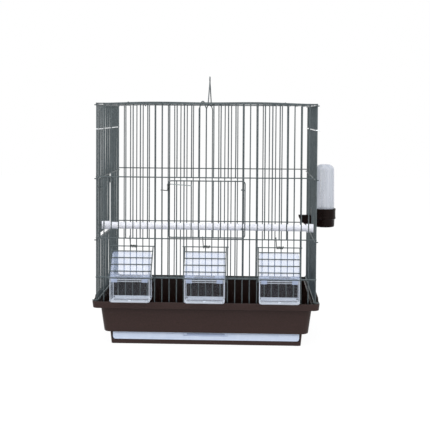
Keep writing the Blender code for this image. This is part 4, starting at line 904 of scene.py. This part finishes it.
def perchParts():
    # A turned bar, and a turned cap on each end with a slot that grips the side wire.
    left, right = np.array(perch["left"]), np.array(perch["right"])
    middle, run, length = (left + right) / 2, unit(right - left), np.linalg.norm(right - left)
    level = np.array([-run[1], run[0], 0.0])

    def lay(points, sign=1):
        # The turned shape's own axis laid along the perch, one way or the other.
        return middle + points @ np.array([sign * level, (0, 0, 1), sign * run])

    end = length / 2 + perch["capPast"]
    start = end - perch["capLength"]
    bottom, play = start + perch["socket"], cage["play"]
    r, cap, bar = perch["radius"], perch["capRadius"], bottom - play
    along = np.linspace(-bar + 1.0, bar - 1.0, 40)
    profile = [(0.01, -bar), (r - 0.8, -bar), (r - 0.25, 0.3 - bar),
               *np.c_[r + perch["swell"] * np.sin(along / perch["swellSize"]), along],
               (r - 0.25, bar - 0.3), (r - 0.8, bar), (0.01, bar)]
    makePiece("perch_bar", [turnedShape(profile, lay, 32)], whitePolyethylene, sharp=40)
    hole, slot = r + play, perch["slotHalf"]
    profile = [(0.01, bottom), (hole, bottom), (hole, start + 0.3), (hole + 0.3, start),
               (cap - 0.4, start), (cap, start + 0.4), (cap, start + 4), (cap - 0.15, start + 4.4),
               (cap, start + 4.8), (cap, end - 1.6), (cap - 0.5, end - 0.6), (cap - 1.4, end),
               (0.01, end)]
    for word, sign in (("left", -1), ("right", 1)):
        piece = makePiece("perch_cap_" + word,
                          [turnedShape(profile, lambda p: lay(p, sign), 40)], whitePolyethylene)
        x, y, z = perch[word]
        near, far = sorted((x - sign * slot, x + sign * 20))
        joinOrCut(piece, boxShape((near, y - slot, z - 20), (far, y + slot, z + 20)), "DIFFERENCE")
        piece.data.set_sharp_from_angle(angle=math.radians(35))


drinker = {"x": 211.0, "y": -6.25, "foot": 196.0, "waist": 210.7, "top": 229.3, "seat": 213.3,
           "floor": 2.0, "lowRadius": 18.6, "highRadius": 20.5, "tubeRadius": 18.0,
           "tubeTop": 310.2, "tubeWall": 1.2, "tubeTaper": 1.0, "shoulder": 11.0,
           "spoutEnd": 163.6, "spoutTop": 216.7, "spoutFoot": 199.1, "spoutWall": 1.3,
           "gapHalf": 4.95}


def drinkerParts():
    # A turned cup with a spout through the side panel, and a turned tube that stands in it.
    x, y, foot, waist, top, seat, end, upper, lower, half = pick(
        drinker, "x y foot waist top seat spoutEnd spoutTop spoutFoot gapHalf")
    low, high, r, wall = pick(drinker, "lowRadius highRadius tubeRadius spoutWall")
    socket, bore, floor = r + cage["play"], r - 2.5, foot + drinker["floor"]

    def atDrinker(points):
        return points + (x, y, 0)

    def upright(points):
        return np.c_[points[:, 0], y - points[:, 2], points[:, 1]]

    profile = [(0.01, foot), (low - 2.2, foot), (low - 1.2, foot + 0.4), (low - 0.6, foot + 1.2),
               (low - 0.4, foot + 2.4), (low, waist - 1.2), (low + 0.5, waist - 0.5),
               (high - 0.3, waist - 0.1), (high, waist + 0.3), (high, waist + 3.4),
               (high - 0.35, waist + 3.8), (high - 0.35, top - 3.4), (high, top - 3.0),
               (high, top - 0.4), (high - 0.4, top), (socket + 0.3, top), (socket, top - 0.3),
               (socket, seat), (bore, seat), (bore, floor), (0.01, floor)]
    cup = makePiece("drinker_base", [turnedShape(profile, atDrinker, 64)], darkPolystyrene)
    outline = [(x - bore - 1, lower), (x - bore - 1, seat - 1), (x - socket - 0.8, seat - 1),
               (x - socket - 0.8, upper), (end, upper), (end + 0.5, upper - 3.0),
               (end + 1.4, upper - 5.5), (end + 2.7, lower + 9.4), (end + 4.6, lower + 6.6),
               (end + 6.9, lower + 4.2), (end + 9.5, lower + 2.4), (end + 12.2, lower + 1.0),
               (end + 15.0, lower)]
    joinOrCut(cup, panelShape(outline, 2 * half, upright))
    panel = cage["halfWidth"]
    joinOrCut(cup, boxShape((panel - 0.8, y - half, lower + 1),
                            (panel + 0.8, y + half, upper + 14)))
    inner, tip = x - bore + 2, end + wall
    hollow = [(inner, lower + wall), (inner, upper - 5), (panel - 2, upper - 5),
              (panel - 2, upper + 1), (tip, upper + 1), (tip + 1.4, upper - 5.5),
              (tip + 4.6, lower + 7.0), (end + 10.6, lower + 3.6), (end + 15.6, lower + wall)]
    joinOrCut(cup, panelShape(hollow, 2 * (half - wall), upright), "DIFFERENCE")
    cup.data.set_sharp_from_angle(angle=math.radians(35))

    # The tube's domed end is a quarter circle on the outside and on the inside.
    wall, rise, crownTop = pick(drinker, "tubeWall shoulder tubeTop")
    neck, lowEnd = r - drinker["tubeTaper"], seat + cage["play"]
    arc = np.linspace(0, np.pi / 2, 10)
    dome = np.c_[neck - rise + rise * np.sin(arc), crownTop - rise + rise * np.cos(arc)]
    profile = [(0.01, crownTop - wall), *(dome - wall), (r - wall, lowEnd + 0.3),
               (r - wall + 0.3, lowEnd), (r - 0.3, lowEnd), (r, lowEnd + 0.3), *dome[::-1],
               (0.01, crownTop)]
    makePiece("drinker_tube", [turnedShape(profile, atDrinker, 64)], clearTube, "drinker_tube",
              sharp=40)


hanger = {"halfSpan": 62.0, "pivot": 417.4, "top": 469.0, "eye": 4.5, "throat": 2.0}


def bailHanger():
    # A foot curled round each end's level wire, two straight legs and an eye.
    eyeRadius = hanger["eye"]
    opening = math.degrees(math.asin(hanger["throat"] / eyeRadius))
    foot = arcPath((0, -hanger["halfSpan"], hanger["pivot"]), cage["wrap"], -150, 90, 16,
                   (1, 0, 0), (0, 0, 1))
    eye = arcPath((0, 0, hanger["top"] - cage["wireRadius"] - eyeRadius), eyeRadius, 270 - opening,
                  opening - 90, 28, (0, 1, 0), (0, 0, 1))
    rise = foot[-1] + (eye[0] - foot[-1]) * np.linspace(0.2, 0.8, 4)[:, None]
    leg = chain([foot, rise])
    path = chain([leg, eye, leg[::-1] * (1, -1, 1)])
    # The tiny slant gives the circles a direction where the wire runs straight along X.
    makePiece("hanger", [sweepWire(path, (1, 0.0001, 0))], paintedWire, "hanger")


perchParts()
drinkerParts()
bailHanger()
print("perch, drinker and hanger made")


shot = {"place": (0.0739, -1.6555, 0.4013), "yaw": 2.21, "pitch": 2.33, "roll": 0.0062,
        "lens": 75.5, "sensor": 36.0, "shiftY": -0.151, "clip": (0.05, 50.0)}


def photoCamera():
    # Yaw and pitch are in degrees, the roll about the line of sight in radians.
    yaw, pitch, roll = math.radians(shot["yaw"]), math.radians(shot["pitch"]), shot["roll"]
    ahead = np.array([-math.sin(yaw) * math.cos(pitch), math.cos(yaw) * math.cos(pitch),
                      -math.sin(pitch)])
    level = np.array([math.cos(yaw), math.sin(yaw), 0.0])
    rise = np.cross(level, ahead)
    matrix = np.eye(4)
    matrix[:3, 0] = math.cos(roll) * level + math.sin(roll) * rise
    matrix[:3, 1] = math.cos(roll) * rise - math.sin(roll) * level
    matrix[:3, 2], matrix[:3, 3] = -ahead, shot["place"]
    data = bpy.data.cameras.new("photo_camera")
    data.lens, data.shift_y, data.sensor_width = pick(shot, "lens shiftY sensor")
    data.clip_start, data.clip_end = shot["clip"]
    camera = addObject("photo_camera", data)
    camera.matrix_world = matrix.T.tolist()
    bpy.context.scene.camera = camera


# Soft boxes in metres and watts; the floor's glow is its share, then its strength to diffuse
# rays, as a bounce card, and to the eye, where it is a little over white.
studio = {
    "lamps": {"key": ((-1.2, -2.2, 1.9), 2.6, 40), "fill": ((1.7, -1.8, 1.2), 2.4, 20),
              "top": ((0.0, 0.3, 2.4), 2.4, 18)},
    "target": (0, 0, 0.2), "sky": ("#f4f6fa", 0.72),
    "paper": "#d8d8d8", "glow": (0.85, 0.6, 1.1), "floorHalf": 4,
}


def softLamp(name, place, width, watts):
    # A square soft box turned towards its target.
    data = bpy.data.lights.new(name, "AREA")
    data.shape, data.size, data.energy = "SQUARE", width, watts
    aim = (Vector(studio["target"]) - Vector(place)).to_track_quat("-Z", "Y")
    addObject(name, data).matrix_world = Matrix.LocRotScale(Vector(place), aim, None)


def seenPlain(add):
    # 1 for rays from the eye, off gloss and through clear plastic, 0 for all others.
    rays = add("LightPath").outputs
    seen = rays["Is Camera Ray"]
    for kind in ("Is Glossy Ray", "Is Transmission Ray"):
        seen = add("Math", {0: seen, 1: rays[kind]}, operation="MAXIMUM")
    return seen


def makeStudio():
    world = bpy.data.worlds.new("studio")
    bpy.context.scene.world = world
    world.use_nodes = True
    world.node_tree.nodes.clear()
    add = partial(addNode, world.node_tree)
    ambient, white = (add("Background", {"Color": hexToLinear(code), "Strength": strength})
                      for code, strength in (studio["sky"], ("#ffffff", 1.0)))
    mix = add("MixShader", {0: seenPlain(add), 1: ambient, 2: white})
    add("OutputWorld", {"Surface": mix})
    for name, (place, width, watts) in studio["lamps"].items():
        softLamp(name, place, width, watts)

    mesh, half = bpy.data.meshes.new("floor"), studio["floorHalf"]
    mesh.from_pydata([(-half, -half, 0), (half, -half, 0), (half, half, 0), (-half, half, 0)],
                     [], [(0, 1, 2, 3)])
    floor = addObject("floor", mesh)
    paper, add, shader = startFinish("white_paper_floor")[:3]
    feedNode(shader, {"Base Color": hexToLinear(studio["paper"]), "Roughness": 0.9,
                      "Specular IOR Level": 0.1})
    share, dim, bright = studio["glow"]
    level = add("MapRange", {"Value": seenPlain(add), "To Min": dim, "To Max": bright})
    glow = add("Emission", {"Color": (1, 1, 1, 1), "Strength": level})
    shade = add("MixShader", {0: share, 1: shader, 2: glow})
    feedNode(paper.node_tree.nodes["Material Output"], {"Surface": shade})
    mesh.materials.append(paper)


photoCamera()
makeStudio()
bpy.context.scene.view_settings.view_transform = "Standard"
print("camera and studio made")
